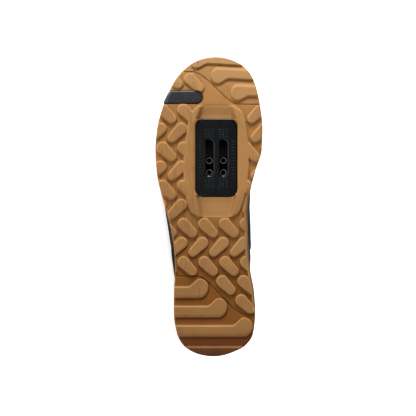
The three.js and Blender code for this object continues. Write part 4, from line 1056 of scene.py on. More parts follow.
def nuts_mesh():
    """Strip with a barrel through each of its four holes, threaded inside."""
    first = PLATE_CENTRE[0] - SLOT_LENGTH / 2 + NUT_END_CLEARANCE + NUT_DIAMETER / 2
    places = [(along, across) for along in (first, first + NUT_PITCH) for across in SLOTS_ACROSS]
    low = PLATE_DEPTH + PLATE_SKIN + GAP
    centre = np.mean(places, axis=0)
    size = np.array([NUT_PITCH + NUT_PLATE_MARGIN, SLOT_SPACING + NUT_PLATE_MARGIN])
    grid, normals, plan = flat_grid(centre - size / 2, centre + size / 2, PATCH_CELL, low, -1)
    field = -rounded_box_distance(plan, centre, *size, 2)
    for place in places:
        field = np.minimum(field, np.hypot(*(plan - place).T) - (NUT_DIAMETER / 2 - 0.4))
    parts = [patch(grid, normals, field.reshape(grid.shape[:2]), 0, -NUT_PLATE_THICKNESS, soft=0.1, lip=0.8)]
    mouth = PLATE_DEPTH + NUT_RECESS
    top = low + NUT_PLATE_THICKNESS
    outer, bore = NUT_DIAMETER / 2, NUT_BORE / 2
    threads = 5
    pitch = (top - mouth - 0.7) / threads
    profile = [(outer - 0.25, mouth), (outer, mouth + 0.3), (outer, top), (bore, top)]
    for thread in range(threads):
        crest = top - pitch * (thread + 0.5)
        profile += [(bore + 0.22, crest + pitch * 0.25), (bore, crest - pitch * 0.25)]
    profile += [(bore, mouth + 0.7), (outer - 0.55, mouth + 0.02)]
    parts += [lathe(place, profile, 32) for place in places]
    return joined(parts)


def tag_mesh():
    """Tag that follows the tread's base and turns up round the sole's edge."""
    reach = TAG_WIDTH / 2 + 1
    along = TAG_CENTRE + np.arange(-reach, reach + 0.3, 0.5)[:, None]
    edge = -outer_half(np.arccos(1 - 2 * along / SOLE_LENGTH))
    start = TAG_INNER_END + 1.5
    flat = start + (edge + TAG_BEVEL - start) * np.linspace(0, 1, 70)
    bevel = np.linspace(0, 1, 9)[1:] * np.pi / 2
    up = np.linspace(EDGE_BEVEL_RISE, TAG_RISE + 1, 16)[1:]
    w = np.hstack([flat, edge + TAG_BEVEL * (1 - np.sin(bevel)), np.repeat(edge, len(up), axis=1)])
    rise = np.concatenate([np.zeros(flat.shape[1]), EDGE_BEVEL_RISE * (1 - np.cos(bevel)), up])
    grid = np.stack([along + 0 * w, w, base(along) + rise], axis=-1)
    normals = grid_normals(grid, False)
    normals *= -np.sign(normals[..., 2].sum())
    field = tag_distance(grid[..., :2].reshape(-1, 2)).reshape(w.shape)
    field = np.minimum(field, TAG_RISE - rise)
    return patch(grid, normals, field, TAG_PROUD, TAG_PROUD - TAG_THICKNESS, soft=1.1, lip=0.5)


# Upper

column_curves = table_curves(COLUMNS)
inner_bulge, outer_bulge = table_curves(SIDE_BULGES)


def station_share(even):
    """Share of the sole's length for an even step along the foot, closer at both ends."""
    return 0.35 * (1 - np.cos(np.pi * even)) + 0.3 * even


def station_turn(share, side):
    """Turn round the sole's edge at a share of its length, on one side."""
    angle = np.arccos(1 - 2 * np.clip(share, 0, 1))
    return np.where(side > 0, angle, 2 * np.pi - angle)


def upper_columns(even, side):
    """Columns of the upper's outer face: its points from the rim to the opening's edge."""
    share = station_share(even)
    along, half, height, lean, bulge, fill, reach = (curve(share) for curve in column_curves)
    foot, out = sole_ring(station_turn(share, side), CUP_WALL + GAP)
    seat = np.column_stack([foot, rim_top(foot[:, 0]) + SEAT_LIFT])
    out = np.column_stack([out, np.zeros(len(out))])
    edge = np.column_stack([along * SOLE_LENGTH, FOOT_CENTRE + side * half, height])
    rise = edge[:, 2] - seat[:, 2]
    span = np.linalg.norm(edge - seat, axis=1)
    lean = np.radians(lean)
    flat = (edge - seat) * np.array([1, 1, 0])
    blend = unit(-out * 0.5 + unit(flat) * 0.5)
    inwards = np.where((np.linalg.norm(flat, axis=1) > rise / 4)[:, None], blend, -out)
    arrive = inwards * np.sin(lean)[:, None] + np.array([0, 0, 1]) * np.cos(lean)[:, None]
    bulge = bulge * UPPER_BULGE + np.where(side > 0, inner_bulge(share), outer_bulge(share))
    first = seat + out * bulge[:, None] + np.array([0, 0, 1]) * (rise * fill)[:, None]
    last = edge - arrive * (reach * span)[:, None]
    t = np.linspace(0, 1, UPPER_ROWS + 1)[None, :, None]
    seat, first, last, edge = (part[:, None, :] for part in (seat, first, last, edge))
    return seat * (1 - t) ** 3 + 3 * first * t * (1 - t) ** 2 + 3 * last * t**2 * (1 - t) + edge * t**3


even_steps = np.arange(STATIONS + 1) / STATIONS
ring_even = np.concatenate([even_steps, even_steps[-2:0:-1]])
ring_side = np.where(np.arange(2 * STATIONS) <= STATIONS, 1, -1)
ring_share = station_share(ring_even)[:, None]
upper_face = upper_columns(ring_even, ring_side)
upper_normals = grid_normals(upper_face, True)
upper_normals *= np.sign(upper_normals[STATIONS // 2, 2, 1])
row_share = np.linspace(0, 1, UPPER_ROWS + 1)
row_steps = np.linalg.norm(np.diff(upper_face, axis=1), axis=2)
no_step = np.zeros((2 * STATIONS, 1))
below_edge = np.concatenate([np.cumsum(row_steps[:, ::-1], axis=1)[:, ::-1], no_step], axis=1)
collar_share = 1 - smoothstep(ring_share, 0.34, 0.42)
thickening = smoothstep((8 * row_share + 1) / 9, 0.55, 0.85) * collar_share
wall_depth = WALL + (COLLAR_WALL - WALL) * thickening

# Threads of the cloth: distance along the foot and distance up from the rim, in millimetres
along_ring = line_length(upper_face[:, UPPER_ROWS // 3])
rows_up = np.concatenate([no_step, np.cumsum(row_steps, axis=1)], axis=1)
cloth_place = np.stack([along_ring[:, None] + 0 * rows_up, rows_up, 0 * rows_up], axis=-1)


def crease_depth(points):
    """Depth of the creases, each a furrow with a lower ridge on both sides."""
    depth = np.zeros(points.shape[:2])
    for share, side, height, slant, half_length, half_width, most in CREASES:
        along = points[..., 0] - share * SOLE_LENGTH
        if side == 0:
            girth = points[..., 1] - FOOT_CENTRE
            weight = smoothstep(points[..., 2], 28, 36)
        else:
            girth = points[..., 2] - height
            weight = smoothstep(points[..., 1] * side, 12, 22)
        turn = math.radians(slant)
        across = (along * math.cos(turn) + girth * math.sin(turn)) / half_width
        length = (-along * math.sin(turn) + girth * math.cos(turn)) / half_length
        furrow = np.exp(-(across**2) - length**2)
        ridge = 0.5 * np.exp(-((np.abs(across) - 2) ** 2) - length**2)
        depth += most * (furrow - ridge) * weight
    return depth


creases = crease_depth(upper_face)


def throat_even(place):
    """Even step along the foot of a place beside the throat, counted from its top."""
    first_column = 12
    return (first_column + place) / CAD_STATIONS


def on_upper(values, i, k):
    """Values of the upper's grid at places between its vertices."""
    return sample(values, i, k, True)


def column_values(side, even, *grids):
    """Values of several grids of the upper all the way up one of its columns."""
    i = np.full(UPPER_ROWS + 1, even * STATIONS if side > 0 else 2 * STATIONS - even * STATIONS)
    return [on_upper(grid, i, np.arange(UPPER_ROWS + 1.0)) for grid in grids]


def wall_point(side, even, distance, offset):
    """Point on the upper a distance down from the throat's edge, lifted off its face."""
    edge_distance, = column_values(side, even, below_edge)
    i = np.array([even * STATIONS if side > 0 else 2 * STATIONS - even * STATIONS])
    k = np.array([np.interp(distance, edge_distance[::-1], np.arange(UPPER_ROWS, -1, -1.0))])
    return (on_upper(upper_face, i, k) + unit(on_upper(upper_normals, i, k)) * offset)[0]


hole_distance = np.full(upper_face.shape[:2], 99.0)
for pair in range(EYELET_PAIRS):
    for side in (1, -1):
        eyelet = wall_point(side, throat_even(pair + 0.5), EYELET_INSET, 0)
        from_eyelet = np.linalg.norm(upper_face - eyelet, axis=2) - EYELET_DIAMETER / 2
        hole_distance = np.minimum(hole_distance, from_eyelet)


def upper_mesh():
    """Wall of the upper with its seat in the cup, and its threads; the collar swells round its pad."""
    swell = np.sin(np.pi * np.clip(below_edge / COLLAR_PAD, 0, 1)) * COLLAR_SWELL * collar_share
    foot = upper_face[:, 0]
    floor = cup_floor(foot[:, 0]) + GAP
    steps = np.linspace(0, 1, 8)[:-1]
    foot_rows = np.repeat(foot[:, None], len(steps), axis=1)
    foot_rows[..., 2] = floor[:, None] + (foot[:, 2] - floor)[:, None] * steps
    _, out = sole_ring(station_turn(ring_share[:, 0], ring_side), 0)
    out = np.repeat(np.column_stack([out, np.zeros(len(out))])[:, None], len(steps), axis=1)
    fade = smoothstep(row_share, 0, 0.12)

    def with_foot(values, below):
        return np.hstack([np.broadcast_to(below, (len(foot), len(steps), *values.shape[2:])), values])

    return patch(
        with_foot(upper_face, foot_rows), with_foot(upper_normals, out),
        with_foot(np.minimum(hole_distance, below_edge), 9.0), with_foot((swell + creases) * fade, 0.0),
        with_foot((creases - wall_depth) * fade - WALL * (1 - fade), -float(WALL)),
        wrap=True, soft=1.6, lip=0.3, values=with_foot(cloth_place, cloth_place[:, :1]))


def toe_cap_field():
    """Distance inside the toe cap, whose edge bows back on both sides."""
    s, w = upper_face[..., 0], upper_face[..., 1]
    share = w / (BALL_WIDTH * 0.65)
    edge = TOE_CAP_START - TOE_CAP_WING * share**2
    return (s - edge) / np.sqrt(1 + (2 * TOE_CAP_WING * share / (BALL_WIDTH * 0.65)) ** 2)


def heel_counter_field():
    """Distance inside the heel counter, which falls away towards the waist."""
    along = np.array([-0.3, 0, 0.3, 0.6, 0.9, 1.0]) * COUNTER_LENGTH
    height = np.array([1.0, 0.985, 0.95, 0.8, 0.62, 0.1]) * COUNTER_HEIGHT
    outline = rounded_path(np.column_stack([along, height]), 40)
    outline = np.concatenate([outline, [[COUNTER_LENGTH, -20], [-40, -20], [-40, COUNTER_HEIGHT]]])
    return polygon_distance(upper_face[..., [0, 2]].reshape(-1, 2), outline).reshape(upper_face.shape[:2])


def eyestay_field():
    """Distance inside the eyestay: a band beside the throat with a round bow at its front."""
    even = np.linspace(throat_even(0), 0.99, 60)
    lean = np.array([wall_point(1, step, 0, 1) - wall_point(1, step, 0, 0) for step in even])
    front = upper_face[STATIONS, -1, 0] + EYESTAY_WIDTH
    turn = np.linspace(0, np.pi / 2, 14)[1:, None]
    halves = []
    for side in (1, -1):
        top = np.array([wall_point(side, step, 0, 0) for step in even])
        edge = np.column_stack([top[:, 0] + lean[:, 0] * EYESTAY_WIDTH, top[:, 1] + side * EYESTAY_WIDTH])
        edge = edge[edge[:, 0] < front - EYESTAY_WIDTH * EYESTAY_BOW]
        bow = edge[-1] + ([front, FOOT_CENTRE] - edge[-1]) * np.hstack([np.sin(turn), 1 - np.cos(turn)])
        halves.append(np.concatenate([edge, bow]))
    outline = np.concatenate([halves[0], halves[1][::-1]])
    field = polygon_distance(upper_face[..., :2].reshape(-1, 2), outline).reshape(upper_face.shape[:2])
    return np.where(upper_face[..., 2] > VAMP_HEIGHT * 0.8, field, OUTSIDE)


def overlay(field):
    return patch(
        upper_face, upper_normals, np.minimum(field, 9), creases + GAP + OVERLAY, creases + GAP,
        wrap=True, soft=0.9, lip=0.45)


def stitches(field, level):
    """Row of short thread stitches on an overlay, a level inside its edge."""
    places = []
    for low, high, step in (
        (field[:, :-1], field[:, 1:], (0, 1)), (field, np.roll(field, -1, axis=0), (1, 0))):
        found = np.nonzero((low - level) * (high - level) < 0)
        t = ((level - low) / np.where(high == low, 1, high - low))[found]
        places.append([found[axis] + t * step[axis] for axis in (0, 1)])
    i, k = (np.concatenate(part) for part in zip(*places))
    turned = unit(on_upper(upper_normals, i, k))
    slope_i, slope_k = (on_upper(slope, i, k) for slope in grid_slopes(field, True))
    reach = 0.4 / np.maximum(np.hypot(slope_i, slope_k), 1e-6)
    points = on_upper(upper_face, i, k)
    tangent = unit(on_upper(upper_face, i - reach * slope_k, k + reach * slope_i) - points)
    points = points + turned * (on_upper(creases, i, k) + GAP + OVERLAY)[:, None]
    kept = []
    for index in np.argsort(points[:, 0] + 1000 * (points[:, 1] > FOOT_CENTRE)):
        if not kept or np.linalg.norm(points[kept] - points[index], axis=1).min() > STITCH_PITCH:
            kept.append(index)
    ring = arc((0, 0), STITCH_RADIUS, 0, 2 * np.pi, 7)[:-1]
    spine = np.linspace(-0.5, 0.5, 5)[:, None]
    size = np.sqrt(np.maximum(1 - (2 * spine) ** 2, 0.05))
    shapes = []
    for index in kept:
        across = np.cross(turned[index], tangent[index])
        centre = points[index] + tangent[index] * spine * STITCH_LENGTH
        body = centre[:, None] + (across * ring[:, :1] + turned[index] * ring[:, 1:]) * size[:, None]
        shapes.append((body.reshape(-1, 3), tube_faces(len(spine), len(ring))))
    return joined(shapes)


def lining_mesh():
    """Padded lining inside the collar, swelling between the edge and its lower seam."""
    field = np.minimum(below_edge - LINING_SEAM, LINING_DEPTH - below_edge)
    field = np.minimum(field, (LINING_END - ring_share) * SOLE_LENGTH)
    swell = LINING_SWELL * smoothstep(field, 0, 10)
    return patch(
        upper_face, -upper_normals, field, wall_depth - creases + 0.35 + swell, wall_depth - creases + 0.1,
        wrap=True, soft=2.0, lip=0.4)


# Insole, tongue and lace


def insole_mesh():
    """Insole with its rim turned up a little towards the cup's wall."""
    inset = CUP_WALL + GAP + WALL + GAP
    grid, normals, plan = flat_grid((0, -56), (SOLE_LENGTH, 50), 1.6, 0, 1)
    grid[..., 2] = cup_floor(grid[..., 0]) + GAP
    field = (polygon_distance(plan, sole_edge) - inset).reshape(grid.shape[:2])
    bowl = 1.5 * (1 - smoothstep(field, 0, 16))
    return patch(grid, normals, field, INSOLE_THICKNESS + bowl, 0, soft=2.2, lip=0.55)


def tongue_surface():
    """Rows across the tongue's outer face from its top to its front end."""
    rows = []
    for place in np.linspace(0, TONGUE_FRONT_PLACE, 40):
        at = np.array([1, 0.75, 0.5, 0.25, 0]) * TONGUE_TUCK * min(1, TONGUE_TOP_TUCK * (1 + place))
        sides = []
        for side in (-1, 1):
            face, out, depth = column_values(side, throat_even(place), upper_face, upper_normals, wall_depth)
            inner = (face - unit(out) * (depth + TONGUE_GAP)[:, None])[::-1]
            length = line_length(inner)
            sides.append(np.column_stack([np.interp(at, length, column) for column in inner.T]))
        low, high = sides[0], sides[1][::-1]
        half = np.linalg.norm(high[0] - low[-1]) / 2
        across = np.linspace(0, 1, 11)[1:-1, None]
        middle = low[-1] * (1 - across) + high[0] * across
        middle[:, 2] += half * TONGUE_CROWN * (1 - (2 * across[:, 0] - 1) ** 2)
        rows.append(np.concatenate([low, middle, high]))
    rows = np.array(rows)
    direction = unit((rows[0] - rows[3]).mean(axis=0))
    extension = np.linspace(1, 0, 12)[:-1, None, None] * TONGUE_EXTENSION
    forward = unit(unit((rows[-1] - rows[-4]).mean(axis=0)) - np.array([0, 0, TONGUE_FRONT_FALL]))
    front = np.linspace(0, 1, 7)[1:, None, None] * TONGUE_FRONT_REACH
    return np.concatenate([rows[0] + direction * extension, rows, rows[-1] + forward * front])


def tongue_mesh():
    """Tongue with round corners at its top and one row of quilting."""
    smooth = tongue_surface()
    for _ in range(6):
        smooth[1:-1] = (smooth[:-2] + 2 * smooth[1:-1] + smooth[2:]) / 4
    normals = grid_normals(smooth, False)
    normals *= np.sign(normals[..., 2].sum())
    steps_along = np.linalg.norm(np.diff(smooth, axis=0), axis=2).mean(axis=1)
    steps_across = np.linalg.norm(np.diff(smooth, axis=1), axis=2).mean(axis=0)
    along = np.concatenate([[0], np.cumsum(steps_along)])[:, None]
    across = np.concatenate([[0], np.cumsum(steps_across)])
    edge = np.minimum(across, across[-1] - across)
    inside = np.minimum(edge, np.minimum(along, along[-1] - along))
    corner = 9.0
    rounded = corner - np.hypot(corner - edge, corner - along)
    field = np.where((edge < corner) & (along < corner), rounded, inside)
    quilting = 0.6 * np.exp(-(((field - 5.0) / 0.8) ** 2))
    depth = TONGUE_THICKNESS * (0.5 + 0.5 * smoothstep(field, 0, 9))
    return patch(smooth, normals, field, -quilting, -depth, soft=2.4, lip=0.3)


def lace_section():
    """Outline of a flat lace with rounded edges."""
    half, thick = LACE_WIDTH / 2, LACE_THICKNESS / 2
    right = arc((half - thick, 0), thick, -np.pi / 2, np.pi / 2, 6)
    left = arc((thick - half, 0), thick, np.pi / 2, 3 * np.pi / 2, 6)
    return np.concatenate([right, left])


def lace_path(side, start, end, lift):
    """Line from inside one eyelet over the tongue into the other."""
    quarter = (end - start) * 0.25
    steps = [start, start, start + quarter, end - quarter, end, end]
    sides = [side, side, side, -side, -side, -side]
    distances = [EYELET_INSET, EYELET_INSET - 1.2, 0, 0, EYELET_INSET - 1.2, EYELET_INSET]
    heights = [-WALL - 0.6, lift, lift, lift, lift, -WALL - 0.6]
    points = [wall_point(*row) for row in zip(sides, steps, distances, heights)]
    ups = [unit(wall_point(a, b, c, 1) - wall_point(a, b, c, 0)) for a, b, c in zip(sides, steps, distances)]
    middle = (points[2] + points[3]) / 2
    middle[2] += np.linalg.norm(points[2] - points[3]) * TONGUE_CROWN / 2
    points.insert(3, middle)
    ups.insert(3, unit(ups[2] + ups[3]))
    points, ups = np.array(points), np.array(ups)
    ups[0], ups[-1] = unit(points[2] - points[0]) * -1, unit(points[-3] - points[-1]) * -1
    path = rounded_path(points, 48)
    for _ in range(3):
        path[1:-1] = (path[:-2] + 2 * path[1:-1] + path[2:]) / 4
    length = line_length(points)
    at = np.linspace(0, length[-1], len(path))
    turn = np.column_stack([np.interp(at, length, column) for column in ups.T])
    return path, unit(turn)


def laces_mesh():
    """Crossing runs from pair to pair of eyelets, and a straight one at the front."""
    section = lace_section()
    runs = []
    for pair in range(EYELET_PAIRS - 1):
        for side in (1, -1):
            lift = LACE_LIFT + (LACE_THICKNESS * 0.7 if side > 0 else 0)
            ends = throat_even(pair + 0.5), throat_even(pair + 1.5)
            runs.append(tube(*lace_path(side, *ends, lift), section))
    last = throat_even(EYELET_PAIRS - 0.5)
    runs.append(tube(*lace_path(1, last, last, LACE_LIFT), section))
    return joined(runs)


# Materials

TIMES = {"operation": "MULTIPLY"}
BLEND = {"data_type": "RGBA"}
TINT = {"data_type": "RGBA", "blend_type": "MULTIPLY"}
SMOOTH = {"interpolation_type": "SMOOTHSTEP"}
COARSE = {"Detail": 2, "Roughness": 0.55}
FINE = {"Detail": 3, "Roughness": 0.55}


def linear(colour):
    """sRGB hex colour as linear red, green, blue and alpha."""
    parts = [int(colour[i : i + 2], 16) / 255 for i in (1, 3, 5)]
    return (*[c / 12.92 if c <= 0.04045 else ((c + 0.055) / 1.055) ** 2.4 for c in parts], 1)


def node(tree, kind, inputs=(), output=0, stops=(), **settings):
    """Adds a node with its settings and colour stops, and returns one of its outputs.

    Inputs come in order or by name; each takes a value, or a socket that is linked to it."""
    made = tree.nodes.new("ShaderNode" + kind)
    for key, value in settings.items():
        setattr(made, key, value)
    for key, value in inputs.items() if isinstance(inputs, dict) else enumerate(inputs):
        if isinstance(value, bpy.types.NodeSocket):
            tree.links.new(value, made.inputs[key])
        else:
            made.inputs[key].default_value = value
    for i, (place, colour) in enumerate(stops):
        elements = made.color_ramp.elements
        element = elements[i] if i < 2 else elements.new(place)
        element.position = place
        element.color = linear(colour)
    return made.outputs[output]


def new_material(name, **values):
    """Material with values straight on its shader's sockets."""
    made = bpy.data.materials.new(name)
    made.use_nodes = True
    shader = made.node_tree.nodes["Principled BSDF"]
    for key, value in values.items():
        shader.inputs[key.replace("_", " ")].default_value = value
    return made, made.node_tree, shader


def finish_material(tree, shader, colour, height, depth, rough=None):
    """Links a colour, a relief of a depth in millimetres, and a pattern's range of roughness."""
    tree.links.new(colour, shader.inputs["Base Color"])
    bump = node(tree, "Bump", {"Strength": 1.0, "Distance": depth / 1000, "Height": height})
    tree.links.new(bump, shader.inputs["Normal"])
    if rough:
        pattern, smoothest, roughest = rough
        roughness = node(tree, "MapRange", (pattern, 0.3, 0.7, smoothest, roughest), **SMOOTH)
        tree.links.new(roughness, shader.inputs["Roughness"])


def stretched(tree, place, stretch, turn=0.0):
    """Place turned about the shoe's upright axis and then scaled along its three axes."""
    turned = node(tree, "Mapping", {"Vector": place, "Rotation": (0, 0, turn)})
    return node(tree, "VectorMath", (turned, stretch), **TIMES)


def sum_of(tree, *terms):
    """Adds products of a socket and a factor."""
    total, *others = [node(tree, "Math", term, **TIMES) for term in terms]
    for term in others:
        total = node(tree, "Math", (total, term), operation="ADD")
    return total


def gum_rubber():
    """Natural gum outsole: translucent tan rubber, matt, with moulded grain and fine striations, and painted
    shade and highlight over its tread.
    """
    made, tree, shader = new_material(
        "natural gum rubber", IOR=1.5, Specular_IOR_Level=0.25, Subsurface_Weight=0.06,
        Subsurface_Radius=(0.002, 0.001, 0.0005))
    place = node(tree, "Attribute", output="Vector", attribute_name="place")
    relief = node(tree, "Attribute", output="Fac", attribute_name="relief")
    share = node(tree, "Math", (node(tree, "SeparateXYZ", (place,)), SOLE_LENGTH), operation="DIVIDE")
    # Colour along the foot, darker towards the heel: partly the gum's own tone, partly painted shade, most
    # of all on the heel's rounded end
    tone = node(tree, "ValToRGB", (share,), stops=[
        (0, "#56300A"), (1, "#937146"), (0.035, "#744C20"), (0.09, "#8B673D"), (0.3, "#8D6A42"),
        (0.62, "#987247")])
    # Painted shade at the foot of the lugs and in the recesses, and a painted highlight on the lugs' rounded
    # rims, which come out lighter than their faces
    recess = node(tree, "ValToRGB", (relief,), stops=[
        (0, "#E4DAC6"), (1, "#E6E4DF"), (0.15, "#E4DAC6"), (0.5, "#FFFFFF"), (0.93, "#FFFFFF")])
    tone = node(tree, "Mix", {0: 1.0, 6: tone, 7: recess}, 2, **TINT)
    # Painted shade: the recesses and bevels are darker and browner towards the heel
    heel_recess_shade = node(tree, "ValToRGB", (relief,), stops=[
        (0, "#DCC67C"), (1, "#FFFFFF"), (0.1, "#A88028"), (0.35, "#BC9648"), (0.62, "#FFFFFF")])
    heel_recess_shade = node(tree, "Mix", {0: 1.0, 6: tone, 7: heel_recess_shade}, 2, **TINT)
    at_heel = node(tree, "MapRange", (share, 0.52, 0.26), **SMOOTH)
    tone = node(tree, "Mix", {0: at_heel, 6: tone, 7: heel_recess_shade}, 2, **BLEND)
    # Scratches along the foot on the outer lugs
    along_foot = stretched(tree, place, (0.04, 1.0, 0.3), 0.05)
    scratched = node(tree, "TexNoise", {"Vector": along_foot, "Scale": 1.0, "Detail": 1, "Roughness": 0.55})
    scratched = node(tree, "MapRange", (scratched, 0.6, 0.72), **SMOOTH)
    outer_side = node(tree, "MapRange", (node(tree, "SeparateXYZ", (place,), 1), 2.0, -16.0), **SMOOTH)
    scratched = node(tree, "Math", (scratched, outer_side), **TIMES)
    scuffed = node(tree, "Mix", {0: 1.0, 6: tone, 7: linear("#DACAB4")}, 2, **TINT)
    tone = node(tree, "Mix", {0: scratched, 6: tone, 7: scuffed}, 2, **BLEND)
    cloud, speckle = [
        node(tree, "TexNoise", {"Vector": place, "Scale": scale, **COARSE}) for scale in (0.05, 1.4)]
    shade = sum_of(tree, (cloud, 0.16), (speckle, 0.1))
    shade = node(tree, "MapRange", (shade, 0.06, 0.2, 0.9, 1.07), **SMOOTH)
    colour = node(tree, "Mix", {0: 1.0, 6: tone, 7: shade}, 2, **TINT)
    striae = stretched(tree, place, (0.05, 2.2, 1))
    striae = node(tree, "TexNoise", {"Vector": striae, "Scale": 1.0, **COARSE})
    grain = node(tree, "TexNoise", {"Vector": place, "Scale": 2.6, **FINE})
    height = sum_of(tree, (striae, 0.6), (grain, 0.4), (scratched, -0.5))
    finish_material(tree, shader, colour, height, 0.12, (grain, 0.55, 0.72))
    return made


def moulded_plastic():
    """Black glass-filled nylon plate: low sheen with a fine spark-eroded grain."""
    made, tree, shader = new_material("glass-filled nylon", IOR=1.53, Specular_IOR_Level=0.3)
    place = node(tree, "Attribute", output="Vector", attribute_name="place")
    relief = node(tree, "Attribute", output="Fac", attribute_name="relief")
    grain = node(tree, "TexNoise", {"Vector": place, "Scale": 3.0, **FINE})
    cloud = node(tree, "TexNoise", {"Vector": place, "Scale": 0.25, **COARSE})
    colour = node(tree, "ValToRGB", (cloud,), stops=[(0.2, "#08090B"), (0.8, "#0F1214")])
    colour = node(tree, "Mix", {0: relief, 6: colour, 7: linear("#2C3033")}, 2, **BLEND)
    finish_material(tree, shader, colour, grain, 0.02, (grain, 0.2, 0.3))
    return made


def black_rubber():
    """Black rubber tag: darker and smoother than the gum, satin, painted lighter where it turns up round the
    edge as a highlight.
    """
    made, tree, shader = new_material("black moulded rubber", IOR=1.52)
    place = node(tree, "Attribute", output="Vector", attribute_name="place")
    grain = node(tree, "TexNoise", {"Vector": place, "Scale": 2.4, **FINE})
    cloud = node(tree, "TexNoise", {"Vector": place, "Scale": 0.2, **COARSE})
    colour = node(tree, "ValToRGB", (cloud,), stops=[(0.2, "#131518"), (0.8, "#1D2023")])
    # Painted highlight: lighter where the tag turns up round the sole's edge
    level = float(base(TAG_CENTRE))
    rise = node(tree, "SeparateXYZ", (place,), 2)
    turned_up = node(tree, "MapRange", (rise, level + 0.1, level + 0.9), **SMOOTH)
    side = node(tree, "MapRange", (rise, level + 2.6, level + 1.4), **SMOOTH)
    edge_highlight = node(tree, "Math", (turned_up, side), **TIMES)
    colour = node(tree, "Mix", {0: edge_highlight, 6: colour, 7: linear("#888C92")}, 2, **BLEND)
    finish_material(tree, shader, colour, grain, 0.02, (grain, 0.24, 0.36))
    return made


def nut_steel():
    """Black-oxide steel nuts: dark oiled finish, painted bright on the rims of the barrels as a highlight
    and near black deeper in the slots as shade.
    """
    made, tree, shader = new_material("black-oxide steel", Metallic=1.0)
    place = node(tree, "Attribute", output="Vector", attribute_name="place")
    grime = node(tree, "TexNoise", {"Vector": place, "Scale": 0.6, **FINE})
    oxide = node(tree, "ValToRGB", (grime,), stops=[(0.3, "#1A1B1D"), (0.75, "#2C2E31")])
    level = node(tree, "SeparateXYZ", (place,), 2)
    mouth = PLATE_DEPTH + NUT_RECESS
    # Painted highlight: lighter steel on the rims of the barrels' mouths
    rim_highlight = node(tree, "MapRange", (level, mouth + 0.32, mouth), **SMOOTH)
    # Painted shade: the steel turns near black deeper inside the slots
    depth = node(tree, "MapRange", (level, PLATE_DEPTH + 1.2, PLATE_DEPTH + PLATE_SKIN), **SMOOTH)
    oxide = node(tree, "Mix", {0: depth, 6: oxide, 7: linear("#070708")}, 2, **BLEND)
    colour = node(tree, "Mix", {0: rim_highlight, 6: oxide, 7: linear("#8C8E90")}, 2, **BLEND)
    turned = stretched(tree, place, (1, 1, 8))
    scratches = node(tree, "TexNoise", {"Vector": turned, "Scale": 2.0, **COARSE})
    finish_material(tree, shader, colour, scratches, 0.02, (grime, 0.25, 0.45))
    return made


def mesh_textile():
    """Black knitted mesh upper: soft cloth with rows of small dull pores, fuzz and no shine."""
    made, tree, shader = new_material(
        "black knitted mesh", IOR=1.46, Specular_IOR_Level=0.3, Sheen_Weight=0.08, Sheen_Roughness=0.5)
    place = node(tree, "Attribute", output="Vector", attribute_name="place")
    threads = node(tree, "Attribute", output="Vector", attribute_name="threads")
    # Real pores are about 1 mm apart; at this picture size they are drawn twice as coarse
    pore_pitch = 2.2
    pores = node(tree, "TexVoronoi", {"Vector": threads, "Scale": 1 / pore_pitch, "Randomness": 0.1})
    pores = node(tree, "MapRange", (pores, 0.12, 0.42), **SMOOTH)
    fuzz = node(tree, "TexNoise", {"Vector": place, "Scale": 2.5, **FINE})
    weave = sum_of(tree, (pores, 0.75), (fuzz, 0.25))
    colour = node(tree, "ValToRGB", (weave,), stops=[(0.1, "#050506"), (0.8, "#18191C")])
    finish_material(tree, shader, colour, weave, 0.3, (fuzz, 0.8, 1.0))
    return made


def synthetic_overlay():
    """Black coated synthetic: leather-like grain with a soft gleam on its rounded edges."""
    made, tree, shader = new_material(
        "black coated synthetic", IOR=1.5, Coat_Weight=0.12, Coat_Roughness=0.35)
    place = node(tree, "Attribute", output="Vector", attribute_name="place")
    pebbles = node(tree, "TexVoronoi", {"Vector": place, "Scale": 0.55, "Randomness": 1.0})
    fine = node(tree, "TexNoise", {"Vector": place, "Scale": 1.6, **FINE})
    cloud = node(tree, "TexNoise", {"Vector": place, "Scale": 0.12, **COARSE})
    colour = node(tree, "ValToRGB", (cloud,), stops=[(0.2, "#111214"), (0.8, "#1E2022")])
    height = sum_of(tree, (pebbles, 0.7), (fine, 0.3))
    finish_material(tree, shader, colour, height, 0.16, (fine, 0.4, 0.6))
    return made


def soft_lining():
    """Dark knitted lining and tongue cloth: plush, with small loops."""
    made, tree, shader = new_material(
        "dark brushed lining", Roughness=0.95, IOR=1.46, Sheen_Weight=0.35, Sheen_Roughness=0.45)
    place = node(tree, "Attribute", output="Vector", attribute_name="place")
    loops = node(
        tree, "TexVoronoi", {"Vector": place, "Scale": 0.7, "Randomness": 0.35}, feature="SMOOTH_F1")
    fuzz = node(tree, "TexNoise", {"Vector": place, "Scale": 2.2, **FINE})
    height = sum_of(tree, (loops, 0.6), (fuzz, 0.4))
    colour = node(tree, "ValToRGB", (height,), stops=[(0.2, "#0E0F11"), (0.8, "#2A2C2F")])
    finish_material(tree, shader, colour, height, 0.3)
    return made


def insole_foam():
    """Open-cell foam insole with tiny cells, dark grey on top and near black underneath, painted shade where
    it shows through the cleat slots.
    """
    made, tree, shader = new_material("insole foam", Roughness=0.9, IOR=1.45, Specular_IOR_Level=0.15)
    place = node(tree, "Attribute", output="Vector", attribute_name="place")
    relief = node(tree, "Attribute", output="Fac", attribute_name="relief")
    cells = node(tree, "TexVoronoi", {"Vector": place, "Scale": 0.9, "Randomness": 1.0})
    colour = node(tree, "ValToRGB", (cells,), stops=[(0.1, "#1E2024"), (0.7, "#34373C")])
    # Painted shade: the underside is near black
    colour = node(tree, "Mix", {0: relief, 6: linear("#060606"), 7: colour}, 2, **BLEND)
    finish_material(tree, shader, colour, cells, 0.25)
    return made


